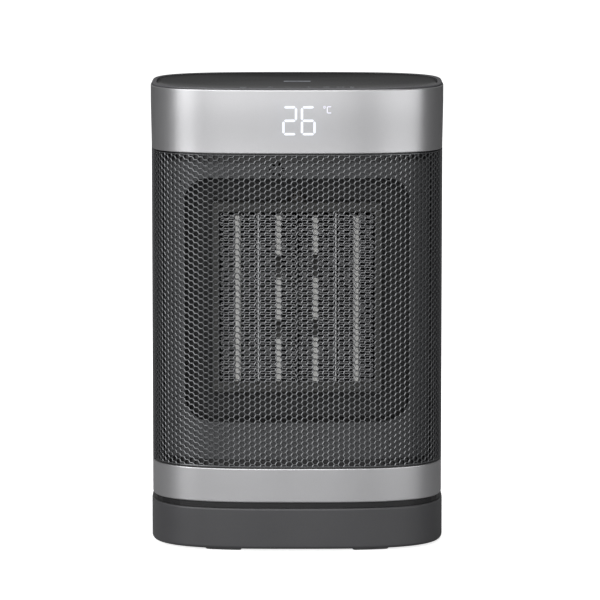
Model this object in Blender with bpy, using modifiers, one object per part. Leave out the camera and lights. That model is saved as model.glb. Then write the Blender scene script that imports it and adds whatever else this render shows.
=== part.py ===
# Oscillating ceramic space heater: a rounded heater body that swings on a low base.
# Metres, +Z up. The front looks along -Y and the origin is on the ground under the middle.

import math

import bmesh
import bpy
import numpy as np
from mathutils import Matrix, Vector
from mathutils.geometry import interpolate_bezier

# Plan outline, shared by every shell
BODY_WIDTH = 0.1780
BODY_DEPTH = 0.1200
OUTLINE_POWER = 3.2
OUTLINE_POINTS = 40
FIT = 0.0003
OVERRUN = 0.0040
MERGE_DISTANCE = 0.00005
SMOOTH_ANGLE = math.radians(35)
BEVEL_ANGLE = math.radians(40)
ROUND_STEPS = 20
FINE_STEPS = 32
PIN_STEPS = 12

# Ceramic core and the outlet round it, which set the height of the grille
CORE_WIDTH = 0.0936
CORE_HEIGHT = 0.1033
CORE_DEPTH = 0.0140
FRAME_WALL = 0.0047
FRAME_SILL = 0.0064
OUTLET_CHEEK = 0.0210
OUTLET_RIM = 0.01585
OUTLET_SILL = 0.0274
OUTLET_HEAD = 0.0148
OPENING_WIDTH = BODY_WIDTH - 2 * OUTLET_CHEEK
OPENING_HEIGHT = CORE_HEIGHT + 2 * (FRAME_SILL + OUTLET_RIM)

# Heights from the ground up
GROUND_CLEARANCE = 0.0020
BASE_HEIGHT = 0.0242
NECK_HEIGHT = 0.0030
LOWER_BAND_HEIGHT = 0.0206
GRILLE_HEIGHT = OUTLET_SILL + OPENING_HEIGHT + OUTLET_HEAD
UPPER_BAND_HEIGHT = 0.0382
COVER_FRONT_EDGE = 0.0007
COVER_REAR_EDGE = 0.0022

BASE_TOP = GROUND_CLEARANCE + BASE_HEIGHT
NECK_BOTTOM = BASE_TOP + FIT
NECK_TOP = NECK_BOTTOM + NECK_HEIGHT
BODY_BOTTOM = NECK_TOP + FIT
LOWER_BAND_TOP = BODY_BOTTOM + LOWER_BAND_HEIGHT
GRILLE_BOTTOM = LOWER_BAND_TOP + FIT
GRILLE_TOP = GRILLE_BOTTOM + GRILLE_HEIGHT
UPPER_BAND_BOTTOM = GRILLE_TOP + FIT
BODY_TOP = UPPER_BAND_BOTTOM + UPPER_BAND_HEIGHT
COVER_BOTTOM = BODY_TOP + FIT
CORE_HEIGHT_Z = GRILLE_BOTTOM + OUTLET_SILL + OPENING_HEIGHT / 2

# Skin of the heater body
WAIST_INSET = 0.0005
FLARE_RISE = 0.0310
FLARE_SHARES = (0.0, 0.5, 1.0)
EDGE_ROUND = 0.0006
GRILLE_RECESS = 0.0006
GRILLE_SHEET = 0.0010
GRILLE_SETBACK = 0.0300
BAND_SETBACK = 0.0500
BAND_WALL = 0.0022
FLANGE_WALL = 0.0016
FLANGE_LAP = 0.0050
FLANGE_ROOT = 0.0040
FLANGE_SLOPE = 0.0020
GRILLE_PLAY = 0.0005
SWEEP_STATIONS = 20

GRILLE_INSET = WAIST_INSET + GRILLE_RECESS
GRILLE_BACK = GRILLE_INSET + GRILLE_SHEET
FLANGE_OUTER = GRILLE_BACK + GRILLE_PLAY
FLANGE_INNER = FLANGE_OUTER + FLANGE_WALL
BAND_INNER = WAIST_INSET + BAND_WALL
GRILLE_SEAM = GRILLE_SETBACK - BODY_DEPTH / 2
BAND_SEAM = BAND_SETBACK - BODY_DEPTH / 2

# Front grille, punched flat and then bent
GRILLE_PITCH = 0.0188
GRILLE_WEB = 0.0024
GRILLE_MARGIN = 0.0012
GRILLE_EDGE_STEPS = 32
BEND_SAMPLES = 400

# Base
BASE_WALL = 0.0026
DECK_THICKNESS = 0.0024
BASE_FILLET = 0.0055
BASE_EDGE = 0.0010
FILLET_SEGMENTS = 3
BASE_RIM = 0.0015
BASE_LEDGE = 0.0075
PLATE_THICKNESS = 0.0024
DECK_BOTTOM = BASE_TOP - DECK_THICKNESS
PLATE_TOP = GROUND_CLEARANCE + PLATE_THICKNESS

# Feet
FOOT_LENGTH = 0.0217
FOOT_DEPTH = 0.0100
FOOT_ROUND = 0.0025
FOOT_SPREAD = 0.0890
FOOT_MARGIN = 0.0005

# Hub, slide ring and drive
HUB_RADIUS = 0.0200
HUB_BORE = 0.0135
NECK_INSET = 0.0012
FLOOR_STEP = 0.0035
RING_RADIUS = 0.0400
RING_WIDTH = 0.0040
RING_HEIGHT = 0.0019
GEAR_MODULE = 0.0010
GEAR_TEETH = 48
PINION_TEETH = 12
GEAR_THICKNESS = 0.0040
GEAR_SECTOR = math.radians(98)
ADDENDUM_SHARE = 0.80
DEDENDUM_SHARE = 1.15
TOOTH_ROOT_SHARE = 0.62
TOOTH_PITCH_SHARE = 0.40
TOOTH_TIP_SHARE = 0.17
PINION_SHAFT = 0.0020
PINION_STANDOFF = 0.0035
DRIVE_RADIUS = 0.0120
DRIVE_FACE = 0.0032
GEAR_TOP = DECK_BOTTOM - 2 * FIT
GEAR_BOTTOM = GEAR_TOP - GEAR_THICKNESS
DRIVE_HEIGHT = GEAR_BOTTOM - PINION_STANDOFF - PLATE_TOP - FIT

# Cord gland and inner lead
GLAND_BORE = 0.0032
GLAND_BARREL = 0.0050
GLAND_FLANGE = 0.0078
GLAND_FLANGE_WALL = 0.0009
GLAND_LENGTH = 0.0080
GLAND_SEAT = 0.0007
GLAND_HEIGHT = GROUND_CLEARANCE + GLAND_SEAT + GLAND_FLANGE
LEAD_RADIUS = 0.0030
LEAD_BEND = 0.0090
LEAD_STEPS = 8

# Tip-over switch
TIP_WIDTH = 0.0160
TIP_DEPTH = 0.0120
TIP_HEIGHT = 0.0130
TIP_X = 0.0400
TIP_Y = 0.0180
SMALL_BEVEL = 0.0006

# Rear housing
HOUSING_WALL = GRILLE_RECESS + GRILLE_SHEET
HOUSING_INNER = WAIST_INSET + HOUSING_WALL
SLOT_ROWS = 10
SLOT_COLUMNS = 3
SLOT_WIDTH = 0.0260
SLOT_HEIGHT = 0.0040
SLOT_BAR = 0.0060
SLOT_RIB = 0.0045
SLOT_PITCH = SLOT_HEIGHT + SLOT_BAR
SLOT_COLUMN_PITCH = SLOT_WIDTH + SLOT_RIB
SLOT_END_STEPS = 2
FILTER_WALL = 0.0012
FILTER_MARGIN = 0.0060
FILTER_STATIONS = 10

# Grip recess
GRIP_WIDTH = 0.0740
GRIP_HEIGHT = 0.0240
GRIP_DEPTH = 0.0150
GRIP_WALL = 0.0018
GRIP_ROUND = 0.0080
GRIP_DROP = 0.0380

# Mains switch, outward along its own +Y
SWITCH_X = 0.0480
SWITCH_DROP = 0.0220
SWITCH_BODY_DEPTH = 0.0120
SWITCH_CHEEK = 0.0018
SWITCH_END = 0.0011
BEZEL_LIP = 0.0008
BEZEL_BORDER = 0.0011
ROCKER_WIDTH = 0.0086
ROCKER_HEIGHT = 0.0150
ROCKER_CREST = 0.0014
ROCKER_DIP = 0.0004
ROCKER_BELLY = 0.0024
ROCKER_PLAY = 0.0008
ROCKER_TILT = math.radians(8)
BEZEL_WIDTH = ROCKER_WIDTH + 2 * (FIT + SWITCH_CHEEK + BEZEL_BORDER)
BEZEL_HEIGHT = ROCKER_HEIGHT + 2 * (ROCKER_PLAY + SWITCH_END + BEZEL_BORDER)

# Top cover and touch panel
COVER_INSET = 0.0006
COVER_ROUND_SHARES = (0.45, 1.0)
PLUG_DEPTH = 0.0034
PANEL_MARGIN = 0.0036
PANEL_THICKNESS = 0.0016
PANEL_CROWN = 0.0003
PANEL_EDGE = 0.0008
POST_RADIUS = 0.0025
POST_LENGTH = 0.0090
POST_INSET = 0.0060

# Electronics under the cover
BOARD_WIDTH = 0.1080
BOARD_DEPTH = 0.0680
BOARD_THICKNESS = 0.0016
RELAY_WIDTH = 0.0220
RELAY_DEPTH = 0.0160
RELAY_HEIGHT = 0.0150
RELAY_X = 0.0250
DISPLAY_WIDTH = 0.0500
DISPLAY_DEPTH = 0.0070
DISPLAY_MARGIN = 0.00255
DISPLAY_FLOOR = UPPER_BAND_BOTTOM + FLANGE_ROOT + FLANGE_SLOPE
DISPLAY_HEIGHT = COVER_BOTTOM - PLUG_DEPTH - DISPLAY_FLOOR - 2 * DISPLAY_MARGIN

# Baffle behind the grille
BAFFLE_WALL = 0.0020
BAFFLE_LAP = 0.0060
OPENING_ROUND = 0.0150
CORNER_STEPS = 4
VENT_RADIUS = 0.0012
VENT_SPREAD = 0.0036
VENT_EDGE = 0.0004
VENT_COUNT = 6
SENSOR_X = -0.0120
SENSOR_RISE = VENT_EDGE + VENT_RADIUS + VENT_SPREAD
SENSOR_RADIUS = 0.0020
SENSOR_LENGTH = 0.0060
BAFFLE_INNER = FLANGE_INNER + FIT + BAFFLE_WALL

# Heater tray and core
TRAY_WALL = 0.0020
TRAY_FLOOR_SETBACK = 0.0340
FRAME_DEPTH = 0.0200
FRAME_PROUD = 0.0140
BAR_WIDTH = 0.0024
STRIP_WIDTH = 0.0008
BAR_SPREAD_SHARES = (-0.762, -0.238, 0.238, 0.762)
STRIP_SPREAD_SHARES = (-0.5, 0.0, 0.5)
FIN_PITCH = 0.0126
FIN_FOLD = 0.0018
CUTOUT_GAP = 0.0008
CUTOUT_RADIUS = (FRAME_PROUD - TRAY_WALL) / 2 - CUTOUT_GAP
CUTOUT_HEIGHT = 0.0060
CUTOUT_CAP_SHARE = 0.55

# Fan
SHROUD_PLATE = 0.0020
SHROUD_WALL = 0.0020
SHROUD_LENGTH = 0.0240
SHROUD_BORDER = 0.0020
SHROUD_RIM = 0.0055
SHROUD_BORE = CORE_WIDTH / 2 + FRAME_WALL + SHROUD_BORDER - SHROUD_RIM
ROTOR_HUB_RADIUS = 0.0170
ROTOR_HUB_LENGTH = 0.0150
ROTOR_GAP = 0.0015
ROTOR_SETBACK = 0.0040
ROTOR_SHAFT = 0.0025
BLADE_COUNT = 7
BLADE_CHORD = 0.0250
BLADE_THICKNESS = 0.0018
BLADE_ROOT_SINK = 0.0010
BLADE_STATION_SHARES = (0.0, 0.5, 1.0)
BLADE_ROOT_PITCH = math.radians(38)
BLADE_TIP_PITCH = math.radians(22)
MOTOR_RADIUS = 0.0190
MOTOR_LENGTH = 0.0280
MOTOR_BOSS = 0.0060
MOTOR_BOSS_STEP = 0.0020
BRACKET_WALL = 0.0030
BRACKET_RING = 0.0035
BRACKET_ARM = 0.0080

# Wiring
BLOCK_WIDTH = 0.0380
BLOCK_DEPTH = 0.0150
BLOCK_HEIGHT = 0.0110
HARNESS_RADIUS = 0.0022
HARNESS_SIDE = 0.0640
HARNESS_BEND = 0.0180
HARNESS_INSET = 0.0110
HARNESS_STEPS = 6

FINISHES = {
    "dark_plastic": ((0.083, 0.085, 0.087), 0.42, 0.0),
    "black_plastic": ((0.017, 0.018, 0.018), 0.45, 0.0),
    "silver": ((0.58, 0.58, 0.58), 0.36, 0.85),
    "grille": ((0.14, 0.14, 0.145), 0.45, 0.6),
    "glass": ((0.032, 0.032, 0.034), 0.12, 0.0),
    "rubber": ((0.02, 0.02, 0.02), 0.8, 0.0),
    "white_plastic": ((0.75, 0.74, 0.7), 0.5, 0.0),
    "board": ((0.02, 0.16, 0.06), 0.5, 0.0),
    "aluminium": ((0.62, 0.62, 0.62), 0.4, 0.9),
    "ceramic": ((0.72, 0.7, 0.66), 0.55, 0.0),
    "steel": ((0.5, 0.5, 0.5), 0.35, 1.0),
    "wool": ((0.1, 0.1, 0.1), 0.9, 0.0),
    "heat_plastic": ((0.05, 0.05, 0.052), 0.55, 0.0),
}


def clear_scene():
    for item in list(bpy.data.objects):
        bpy.data.objects.remove(item, do_unlink=True)


def make_collection(name):
    collection = bpy.data.collections.new(name)
    bpy.context.scene.collection.children.link(collection)
    return collection


def paint(item, finish):
    """Give the object its own material of the named finish."""
    color, roughness, metallic = FINISHES[finish]
    material = bpy.data.materials.new(item.name)
    material.use_nodes = True
    shader = material.node_tree.nodes["Principled BSDF"]
    shader.inputs["Base Color"].default_value = (*color, 1.0)
    shader.inputs["Roughness"].default_value = roughness
    shader.inputs["Metallic"].default_value = metallic
    material.diffuse_color = (*color, 1.0)
    item.data.materials.append(material)


def add_object(name, mesh_tool, finish):
    """Turn a bmesh into a named part, or into a guide when it has no finish."""
    bmesh.ops.recalc_face_normals(mesh_tool, faces=mesh_tool.faces[:])
    if mesh_tool.calc_volume(signed=True) < 0:
        bmesh.ops.reverse_faces(mesh_tool, faces=mesh_tool.faces[:])
    mesh = bpy.data.meshes.new(name)
    mesh_tool.to_mesh(mesh)
    mesh_tool.free()
    return add_mesh(name, mesh, finish)


def add_mesh(name, mesh, finish):
    item = bpy.data.objects.new(name, mesh)
    if finish is None:
        item.hide_render = True
        item.display_type = "WIRE"
        bpy.data.collections["heater_guides"].objects.link(item)
    else:
        mesh.shade_smooth()
        mesh.set_sharp_from_angle(angle=SMOOTH_ANGLE)
        bpy.data.collections["space_heater"].objects.link(item)
        paint(item, finish)
    return item


def combine(target, tool, operation="DIFFERENCE"):
    modifier = target.modifiers.new(tool.name, "BOOLEAN")
    modifier.operation = operation
    modifier.solver = "EXACT"
    modifier.object = tool


def bevel(item, width, segments=1):
    modifier = item.modifiers.new("edge", "BEVEL")
    modifier.width = width
    modifier.segments = segments
    modifier.limit_method = "ANGLE"
    modifier.angle_limit = BEVEL_ANGLE


def outline_point(inset, angle):
    """Point of the plan outline, drawn in by the inset, at a sweep angle."""
    power = 2 / OUTLINE_POWER
    across = math.cos(angle)
    along = math.sin(angle)
    x = (BODY_WIDTH / 2 - inset) * math.copysign(abs(across) ** power, across)
    y = (BODY_DEPTH / 2 - inset) * math.copysign(abs(along) ** power, along)
    return x, y


def outline_depth(inset, x):
    """Distance of the outline from the X axis at a given x."""
    share = abs(x) / (BODY_WIDTH / 2 - inset)
    return (BODY_DEPTH / 2 - inset) * (1 - share ** OUTLINE_POWER) ** (1 / OUTLINE_POWER)


def outline_angle(inset, y):
    """Sweep angle at which the right half of the outline reaches y."""
    share = abs(y) / (BODY_DEPTH / 2 - inset)
    return math.copysign(math.asin(share ** (OUTLINE_POWER / 2)), y)


def section(inset, z, tilt=0.0):
    """Closed ring on the outline. Tilt raises the rear edge over the front edge."""
    ring = []
    for step in range(OUTLINE_POINTS):
        x, y = outline_point(inset, 2 * math.pi * step / OUTLINE_POINTS)
        ring.append(Vector((x, y, z + tilt * (0.5 + y / BODY_DEPTH))))
    return ring


def circle(radius, z):
    ring = []
    for step in range(OUTLINE_POINTS):
        angle = 2 * math.pi * step / OUTLINE_POINTS
        ring.append(Vector((radius * math.cos(angle), radius * math.sin(angle), z)))
    return ring


def skin(name, sections, finish, closed=False):
    """One body through rings of equal point count, either capped or closed on itself."""
    mesh_tool = bmesh.new()
    rings = [[mesh_tool.verts.new(point) for point in ring] for ring in sections]
    pairs = list(zip(rings, rings[1:]))
    if closed:
        pairs.append((rings[-1], rings[0]))
    else:
        mesh_tool.faces.new(rings[0])
        mesh_tool.faces.new(rings[-1])
    for lower, upper in pairs:
        for index in range(len(lower)):
            after = (index + 1) % len(lower)
            mesh_tool.faces.new((lower[index], lower[after], upper[after], upper[index]))
    return add_object(name, mesh_tool, finish)


def sweep(name, profile, end_y, side, finish, stations):
    """Sweep a closed profile of (inset, z) points along the front or rear of the outline."""
    sections = []
    for step in range(stations + 1):
        share = step / stations
        ring = []
        for inset, z in profile:
            corner = outline_angle(inset, end_y)
            start = corner if side == "rear" else -math.pi - corner
            stop = math.pi - corner if side == "rear" else corner
            x, y = outline_point(inset, start + (stop - start) * share)
            ring.append(Vector((x, y, z)))
        sections.append(ring)
    return skin(name, sections, finish)


def prism(name, outline, low, high, axis, finish):
    """Extrude a flat outline from low to high along Y or Z."""
    mesh_tool = bmesh.new()
    if axis == "Y":
        points = [Vector((u, low, v)) for u, v in outline]
        travel = Vector((0, high - low, 0))
    else:
        points = [Vector((u, v, low)) for u, v in outline]
        travel = Vector((0, 0, high - low))
    face = mesh_tool.faces.new([mesh_tool.verts.new(point) for point in points])
    grown = bmesh.ops.extrude_face_region(mesh_tool, geom=[face])["geom"]
    fresh = [item for item in grown if isinstance(item, bmesh.types.BMVert)]
    bmesh.ops.translate(mesh_tool, verts=fresh, vec=travel)
    return add_object(name, mesh_tool, finish)


def block(name, size, centre, finish):
    mesh_tool = bmesh.new()
    matrix = Matrix.Translation(centre) @ Matrix.Diagonal((*size, 1.0))
    bmesh.ops.create_cube(mesh_tool, size=1.0, matrix=matrix)
    return add_object(name, mesh_tool, finish)


def turned(name, profile, place, turn, finish, steps=ROUND_STEPS):
    """Turn a profile of (radius, height) points, listed top to bottom, about its own Z."""
    mesh = bpy.data.meshes.new(name)
    points = [(radius, 0, height) for radius, height in profile]
    edges = [(index, index + 1) for index in range(len(points) - 1)]
    if profile[0][0] > 0:
        edges.append((len(points) - 1, 0))
    mesh.from_pydata(points, edges, [])
    item = add_mesh(name, mesh, finish)
    item.location = place
    item.rotation_euler = turn
    screw = item.modifiers.new("turn", "SCREW")
    screw.steps = steps
    screw.render_steps = steps
    screw.use_merge_vertices = True
    screw.merge_threshold = MERGE_DISTANCE
    screw.use_smooth_shade = True
    return item


def rounded_rectangle(width, height, radius, centre_v=0.0):
    points = []
    corners = ((1, 1, 0), (-1, 1, 1), (-1, -1, 2), (1, -1, 3))
    for sign_u, sign_v, quarter in corners:
        for step in range(CORNER_STEPS + 1):
            angle = math.pi / 2 * (quarter + step / CORNER_STEPS)
            u = sign_u * (width / 2 - radius) + radius * math.cos(angle)
            v = sign_v * (height / 2 - radius) + radius * math.sin(angle)
            points.append((u, v + centre_v))
    return points


def ring_outline(radius, count):
    angles = [2 * math.pi * step / count for step in range(count)]
    return [(radius * math.cos(angle), radius * math.sin(angle)) for angle in angles]


def skin_inset(z):
    """Inset of the body's outer skin: the waist opens out below the top edge."""
    share = min(max((z - UPPER_BAND_BOTTOM) / FLARE_RISE, 0.0), 1.0)
    return WAIST_INSET * (1 - share * share * (3 - 2 * share))


def skin_profile(low, high):
    """Outer skin points of (inset, z) from low to high, with the flare between."""
    levels = [UPPER_BAND_BOTTOM + FLARE_RISE * share for share in FLARE_SHARES]
    heights = [low] + [level for level in levels if low < level < high] + [high]
    return [(skin_inset(height), height) for height in heights]


# Base


def make_base_shell():
    rings = [section(BASE_FILLET + BASE_RIM, GROUND_CLEARANCE)]
    for step in range(FILLET_SEGMENTS + 1):
        angle = math.pi / 2 * step / FILLET_SEGMENTS
        inset = BASE_FILLET * (1 - math.sin(angle))
        rise = BASE_FILLET * (1 - math.cos(angle))
        rings.append(section(inset, GROUND_CLEARANCE + rise))
    rings.append(section(0, BASE_TOP - BASE_EDGE))
    rings.append(section(BASE_EDGE, BASE_TOP))
    rings.append(circle(HUB_RADIUS + FIT, BASE_TOP))
    rings.append(circle(HUB_RADIUS + FIT, DECK_BOTTOM))
    rings.append(section(BASE_WALL, DECK_BOTTOM))
    rings.append(section(BASE_WALL, GROUND_CLEARANCE + BASE_LEDGE))
    rings.append(section(BASE_FILLET + BASE_RIM, GROUND_CLEARANCE + BASE_LEDGE - BASE_WALL))
    shell = skin("base_shell", rings, "dark_plastic", closed=True)
    face = BODY_DEPTH / 2
    seat = GLAND_FLANGE_WALL + FIT
    profile = [
        (0, OVERRUN),
        (GLAND_FLANGE + FIT, OVERRUN),
        (GLAND_FLANGE + FIT, -seat),
        (GLAND_BARREL + FIT, -seat),
        (GLAND_BARREL + FIT, -GLAND_LENGTH),
        (0, -GLAND_LENGTH),
    ]
    place = (0, face, GLAND_HEIGHT)
    hole = turned("gland_hole", profile, place, (-math.pi / 2, 0, 0), None)
    combine(shell, hole)


def make_base_plate():
    inset = BASE_FILLET + BASE_RIM + FIT
    rings = [section(inset, GROUND_CLEARANCE), section(inset, PLATE_TOP)]
    skin("base_plate", rings, "dark_plastic")


def make_feet():
    reach = outline_depth(BASE_FILLET + BASE_RIM + FIT, (FOOT_SPREAD + FOOT_LENGTH) / 2)
    offset = reach - FOOT_MARGIN - FOOT_DEPTH / 2
    for side, sign_x in (("left", -1), ("right", 1)):
        for end, sign_y in (("front", -1), ("rear", 1)):
            pad = rounded_rectangle(FOOT_LENGTH, FOOT_DEPTH, FOOT_ROUND)
            foot = prism(f"foot_{end}_{side}", pad, 0, GROUND_CLEARANCE - FIT, "Z", "rubber")
            foot.location = (sign_x * FOOT_SPREAD / 2, sign_y * offset, 0)


def make_cord_gland():
    face = BODY_DEPTH / 2 - FIT
    profile = [
        (GLAND_BORE, 0),
        (GLAND_FLANGE, 0),
        (GLAND_FLANGE, -GLAND_FLANGE_WALL),
        (GLAND_BARREL, -GLAND_FLANGE_WALL),
        (GLAND_BARREL, -GLAND_LENGTH),
        (GLAND_BORE, -GLAND_LENGTH),
    ]
    place = (0, face, GLAND_HEIGHT)
    turned("cord_gland", profile, place, (-math.pi / 2, 0, 0), "black_plastic")


def make_supply_lead():
    """Inner lead from the gland, along the base and up the middle of the hub."""
    start = BODY_DEPTH / 2 - GLAND_LENGTH - 2 * FIT
    points = [(0, start, GLAND_HEIGHT)]
    for step in range(LEAD_STEPS + 1):
        angle = math.pi / 2 * step / LEAD_STEPS
        y = LEAD_BEND * (1 - math.sin(angle))
        z = GLAND_HEIGHT + LEAD_BEND * (1 - math.cos(angle))
        points.append((0, y, z))
    points.append((0, 0, NECK_TOP + FLOOR_STEP))
    add_tube("supply_lead", points, LEAD_RADIUS, "rubber")


def add_tube(name, points, radius, finish):
    curve = bpy.data.curves.new(name, "CURVE")
    curve.dimensions = "3D"
    curve.bevel_depth = radius
    curve.bevel_resolution = 2
    curve.use_fill_caps = True
    spline = curve.splines.new("POLY")
    spline.points.add(len(points) - 1)
    for index, point in enumerate(points):
        spline.points[index].co = (*point, 1.0)
    item = bpy.data.objects.new(name, curve)
    bpy.data.collections["space_heater"].objects.link(item)
    paint(item, finish)


def make_tip_switch():
    size = (TIP_WIDTH, TIP_DEPTH, TIP_HEIGHT)
    centre = (-TIP_X, TIP_Y, PLATE_TOP + FIT + TIP_HEIGHT / 2)
    bevel(block("tip_switch", size, centre, "white_plastic"), SMALL_BEVEL)


def make_oscillation_motor():
    reach = (GEAR_TEETH + PINION_TEETH) * GEAR_MODULE / 2
    profile = [
        (0, DRIVE_HEIGHT),
        (DRIVE_FACE, DRIVE_HEIGHT),
        (DRIVE_FACE, DRIVE_HEIGHT - SMALL_BEVEL),
        (DRIVE_RADIUS - SMALL_BEVEL, DRIVE_HEIGHT - SMALL_BEVEL),
        (DRIVE_RADIUS, DRIVE_HEIGHT - 2 * SMALL_BEVEL),
        (DRIVE_RADIUS, 0),
        (0, 0),
    ]
    place = (reach, 0, PLATE_TOP + FIT)
    turned("oscillation_motor", profile, place, (0, 0, 0), "steel")


def gear_outline(teeth, drawn, phase):
    """Toothed outline. Only the drawn teeth, centred on the phase, stand over the root."""
    pitch_radius = teeth * GEAR_MODULE / 2
    root = pitch_radius - DEDENDUM_SHARE * GEAR_MODULE
    tip = pitch_radius + ADDENDUM_SHARE * GEAR_MODULE
    step = 2 * math.pi / teeth
    points = []
    for index in range(teeth):
        turn = index if index <= teeth // 2 else index - teeth
        centre = phase + index * step
        if abs(turn) > drawn / 2:
            points.append((root, centre))
            continue
        flank = (
            (root, -TOOTH_ROOT_SHARE / 2),
            (pitch_radius, -TOOTH_PITCH_SHARE / 2),
            (tip, -TOOTH_TIP_SHARE / 2),
            (tip, TOOTH_TIP_SHARE / 2),
            (pitch_radius, TOOTH_PITCH_SHARE / 2),
            (root, TOOTH_ROOT_SHARE / 2),
        )
        points += [(radius, centre + share * step) for radius, share in flank]
    return [(radius * math.cos(angle), radius * math.sin(angle)) for radius, angle in points]


def make_oscillation_gear():
    drawn = 2 * (round(GEAR_SECTOR / (2 * math.pi) * GEAR_TEETH) // 2)
    outline = gear_outline(GEAR_TEETH, drawn, 0)
    gear = prism("oscillation_gear", outline, GEAR_BOTTOM, GEAR_TOP, "Z", "white_plastic")
    round_bore = ring_outline(HUB_BORE, ROUND_STEPS)
    low = GEAR_BOTTOM - OVERRUN
    combine(gear, prism("gear_bore", round_bore, low, GEAR_TOP + OVERRUN, "Z", None))


def make_drive_pinion():
    """Pinion with its shaft. The origin is on the axis that it turns about."""
    reach = (GEAR_TEETH + PINION_TEETH) * GEAR_MODULE / 2
    phase = math.pi / PINION_TEETH
    outline = gear_outline(PINION_TEETH, PINION_TEETH, phase)
    pinion = prism("drive_pinion", outline, 0, GEAR_THICKNESS, "Z", "white_plastic")
    pinion.location = (reach, 0, GEAR_BOTTOM)
    round_shaft = ring_outline(PINION_SHAFT, PIN_STEPS)
    shaft = prism("pinion_shaft", round_shaft, FIT - PINION_STANDOFF, FIT, "Z", None)
    shaft.location = (reach, 0, GEAR_BOTTOM)
    combine(pinion, shaft, "UNION")


# Heater body


def make_chassis_floor():
    """Neck plate with its hub below, a groove for the slide ring and a step inside the bands."""
    groove_in = RING_RADIUS - RING_WIDTH / 2 - FIT
    groove_out = RING_RADIUS + RING_WIDTH / 2 + FIT
    groove_top = NECK_BOTTOM + RING_HEIGHT + FIT
    rings = [
        circle(HUB_BORE, DECK_BOTTOM - FIT),
        circle(HUB_RADIUS, DECK_BOTTOM - FIT),
        circle(HUB_RADIUS, NECK_BOTTOM),
        circle(groove_in, NECK_BOTTOM),
        circle(groove_in, groove_top),
        circle(groove_out, groove_top),
        circle(groove_out, NECK_BOTTOM),
        section(NECK_INSET, NECK_BOTTOM),
        section(NECK_INSET, NECK_TOP),
        section(BAND_INNER + FIT, NECK_TOP),
        section(BAND_INNER + FIT, NECK_TOP + FLOOR_STEP),
        circle(HUB_BORE, NECK_TOP + FLOOR_STEP),
    ]
    skin("chassis_floor", rings, "black_plastic", closed=True)


def make_slide_ring():
    inner = RING_RADIUS - RING_WIDTH / 2
    outer = RING_RADIUS + RING_WIDTH / 2
    top = NECK_BOTTOM + RING_HEIGHT
    profile = [(inner, top), (outer, top), (outer, NECK_BOTTOM), (inner, NECK_BOTTOM)]
    place = (0, 0, 0)
    turned("slide_ring", profile, place, (0, 0, 0), "white_plastic", steps=OUTLINE_POINTS)


def make_lower_band():
    edge = LOWER_BAND_TOP
    profile = [
        (WAIST_INSET + EDGE_ROUND, BODY_BOTTOM),
        (WAIST_INSET, BODY_BOTTOM + EDGE_ROUND),
        (WAIST_INSET, edge),
        (FLANGE_OUTER, edge),
        (FLANGE_OUTER, edge + FLANGE_LAP),
        (FLANGE_INNER, edge + FLANGE_LAP),
        (FLANGE_INNER, edge - FLANGE_ROOT),
        (BAND_INNER, edge - FLANGE_ROOT - FLANGE_SLOPE),
        (BAND_INNER, BODY_BOTTOM),
    ]
    sweep("lower_band", profile, BAND_SEAM - FIT / 2, "front", "silver", SWEEP_STATIONS)


def make_upper_band():
    edge = UPPER_BAND_BOTTOM
    profile = skin_profile(edge, BODY_TOP - EDGE_ROUND)
    profile += [
        (EDGE_ROUND, BODY_TOP),
        (BAND_INNER, BODY_TOP),
        (BAND_INNER, edge + FLANGE_ROOT + FLANGE_SLOPE),
        (FLANGE_INNER, edge + FLANGE_ROOT),
        (FLANGE_INNER, edge - FLANGE_LAP),
        (FLANGE_OUTER, edge - FLANGE_LAP),
        (FLANGE_OUTER, edge),
    ]
    sweep("upper_band", profile, BAND_SEAM - FIT / 2, "front", "silver", SWEEP_STATIONS)


def bend_table():
    """Arc length, place and inward normal along the grille's outer face, left to right."""
    corner = outline_angle(GRILLE_INSET, GRILLE_SEAM - (FIT + GRILLE_SHEET) / 2)
    angles = np.linspace(-math.pi - corner, corner, BEND_SAMPLES)
    places = np.array([outline_point(GRILLE_INSET, angle) for angle in angles])
    steps = np.linalg.norm(np.diff(places, axis=0), axis=1)
    lengths = np.concatenate(([0.0], np.cumsum(steps)))
    tangents = np.gradient(places, lengths, axis=0)
    normals = np.stack((-tangents[:, 1], tangents[:, 0]), axis=1)
    normals /= np.linalg.norm(normals, axis=1)[:, None]
    return lengths - lengths[-1] / 2, places, normals


def hole_outlines(half_length):
    """Hexagonal holes in upright columns, every second column half a pitch higher."""
    across = GRILLE_PITCH - GRILLE_WEB
    radius = across / math.sqrt(3)
    column_pitch = GRILLE_PITCH * math.sqrt(3) / 2
    columns = int((half_length - radius - GRILLE_MARGIN) / column_pitch)
    middle = (GRILLE_BOTTOM + GRILLE_TOP) / 2
    reach = GRILLE_HEIGHT / 2 - GRILLE_MARGIN - across / 2
    rows = int(reach / GRILLE_PITCH) + 1
    hexagon = ring_outline(radius, 6)
    outlines = []
    for column in range(-columns, columns + 1):
        shift = column * column_pitch
        lift = GRILLE_PITCH / 2 * (column % 2)
        for row in range(-rows, rows + 1):
            height = row * GRILLE_PITCH + lift
            if abs(height) <= reach:
                outlines.append([(u + shift, v + middle + height) for u, v in hexagon])
    return outlines


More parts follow.
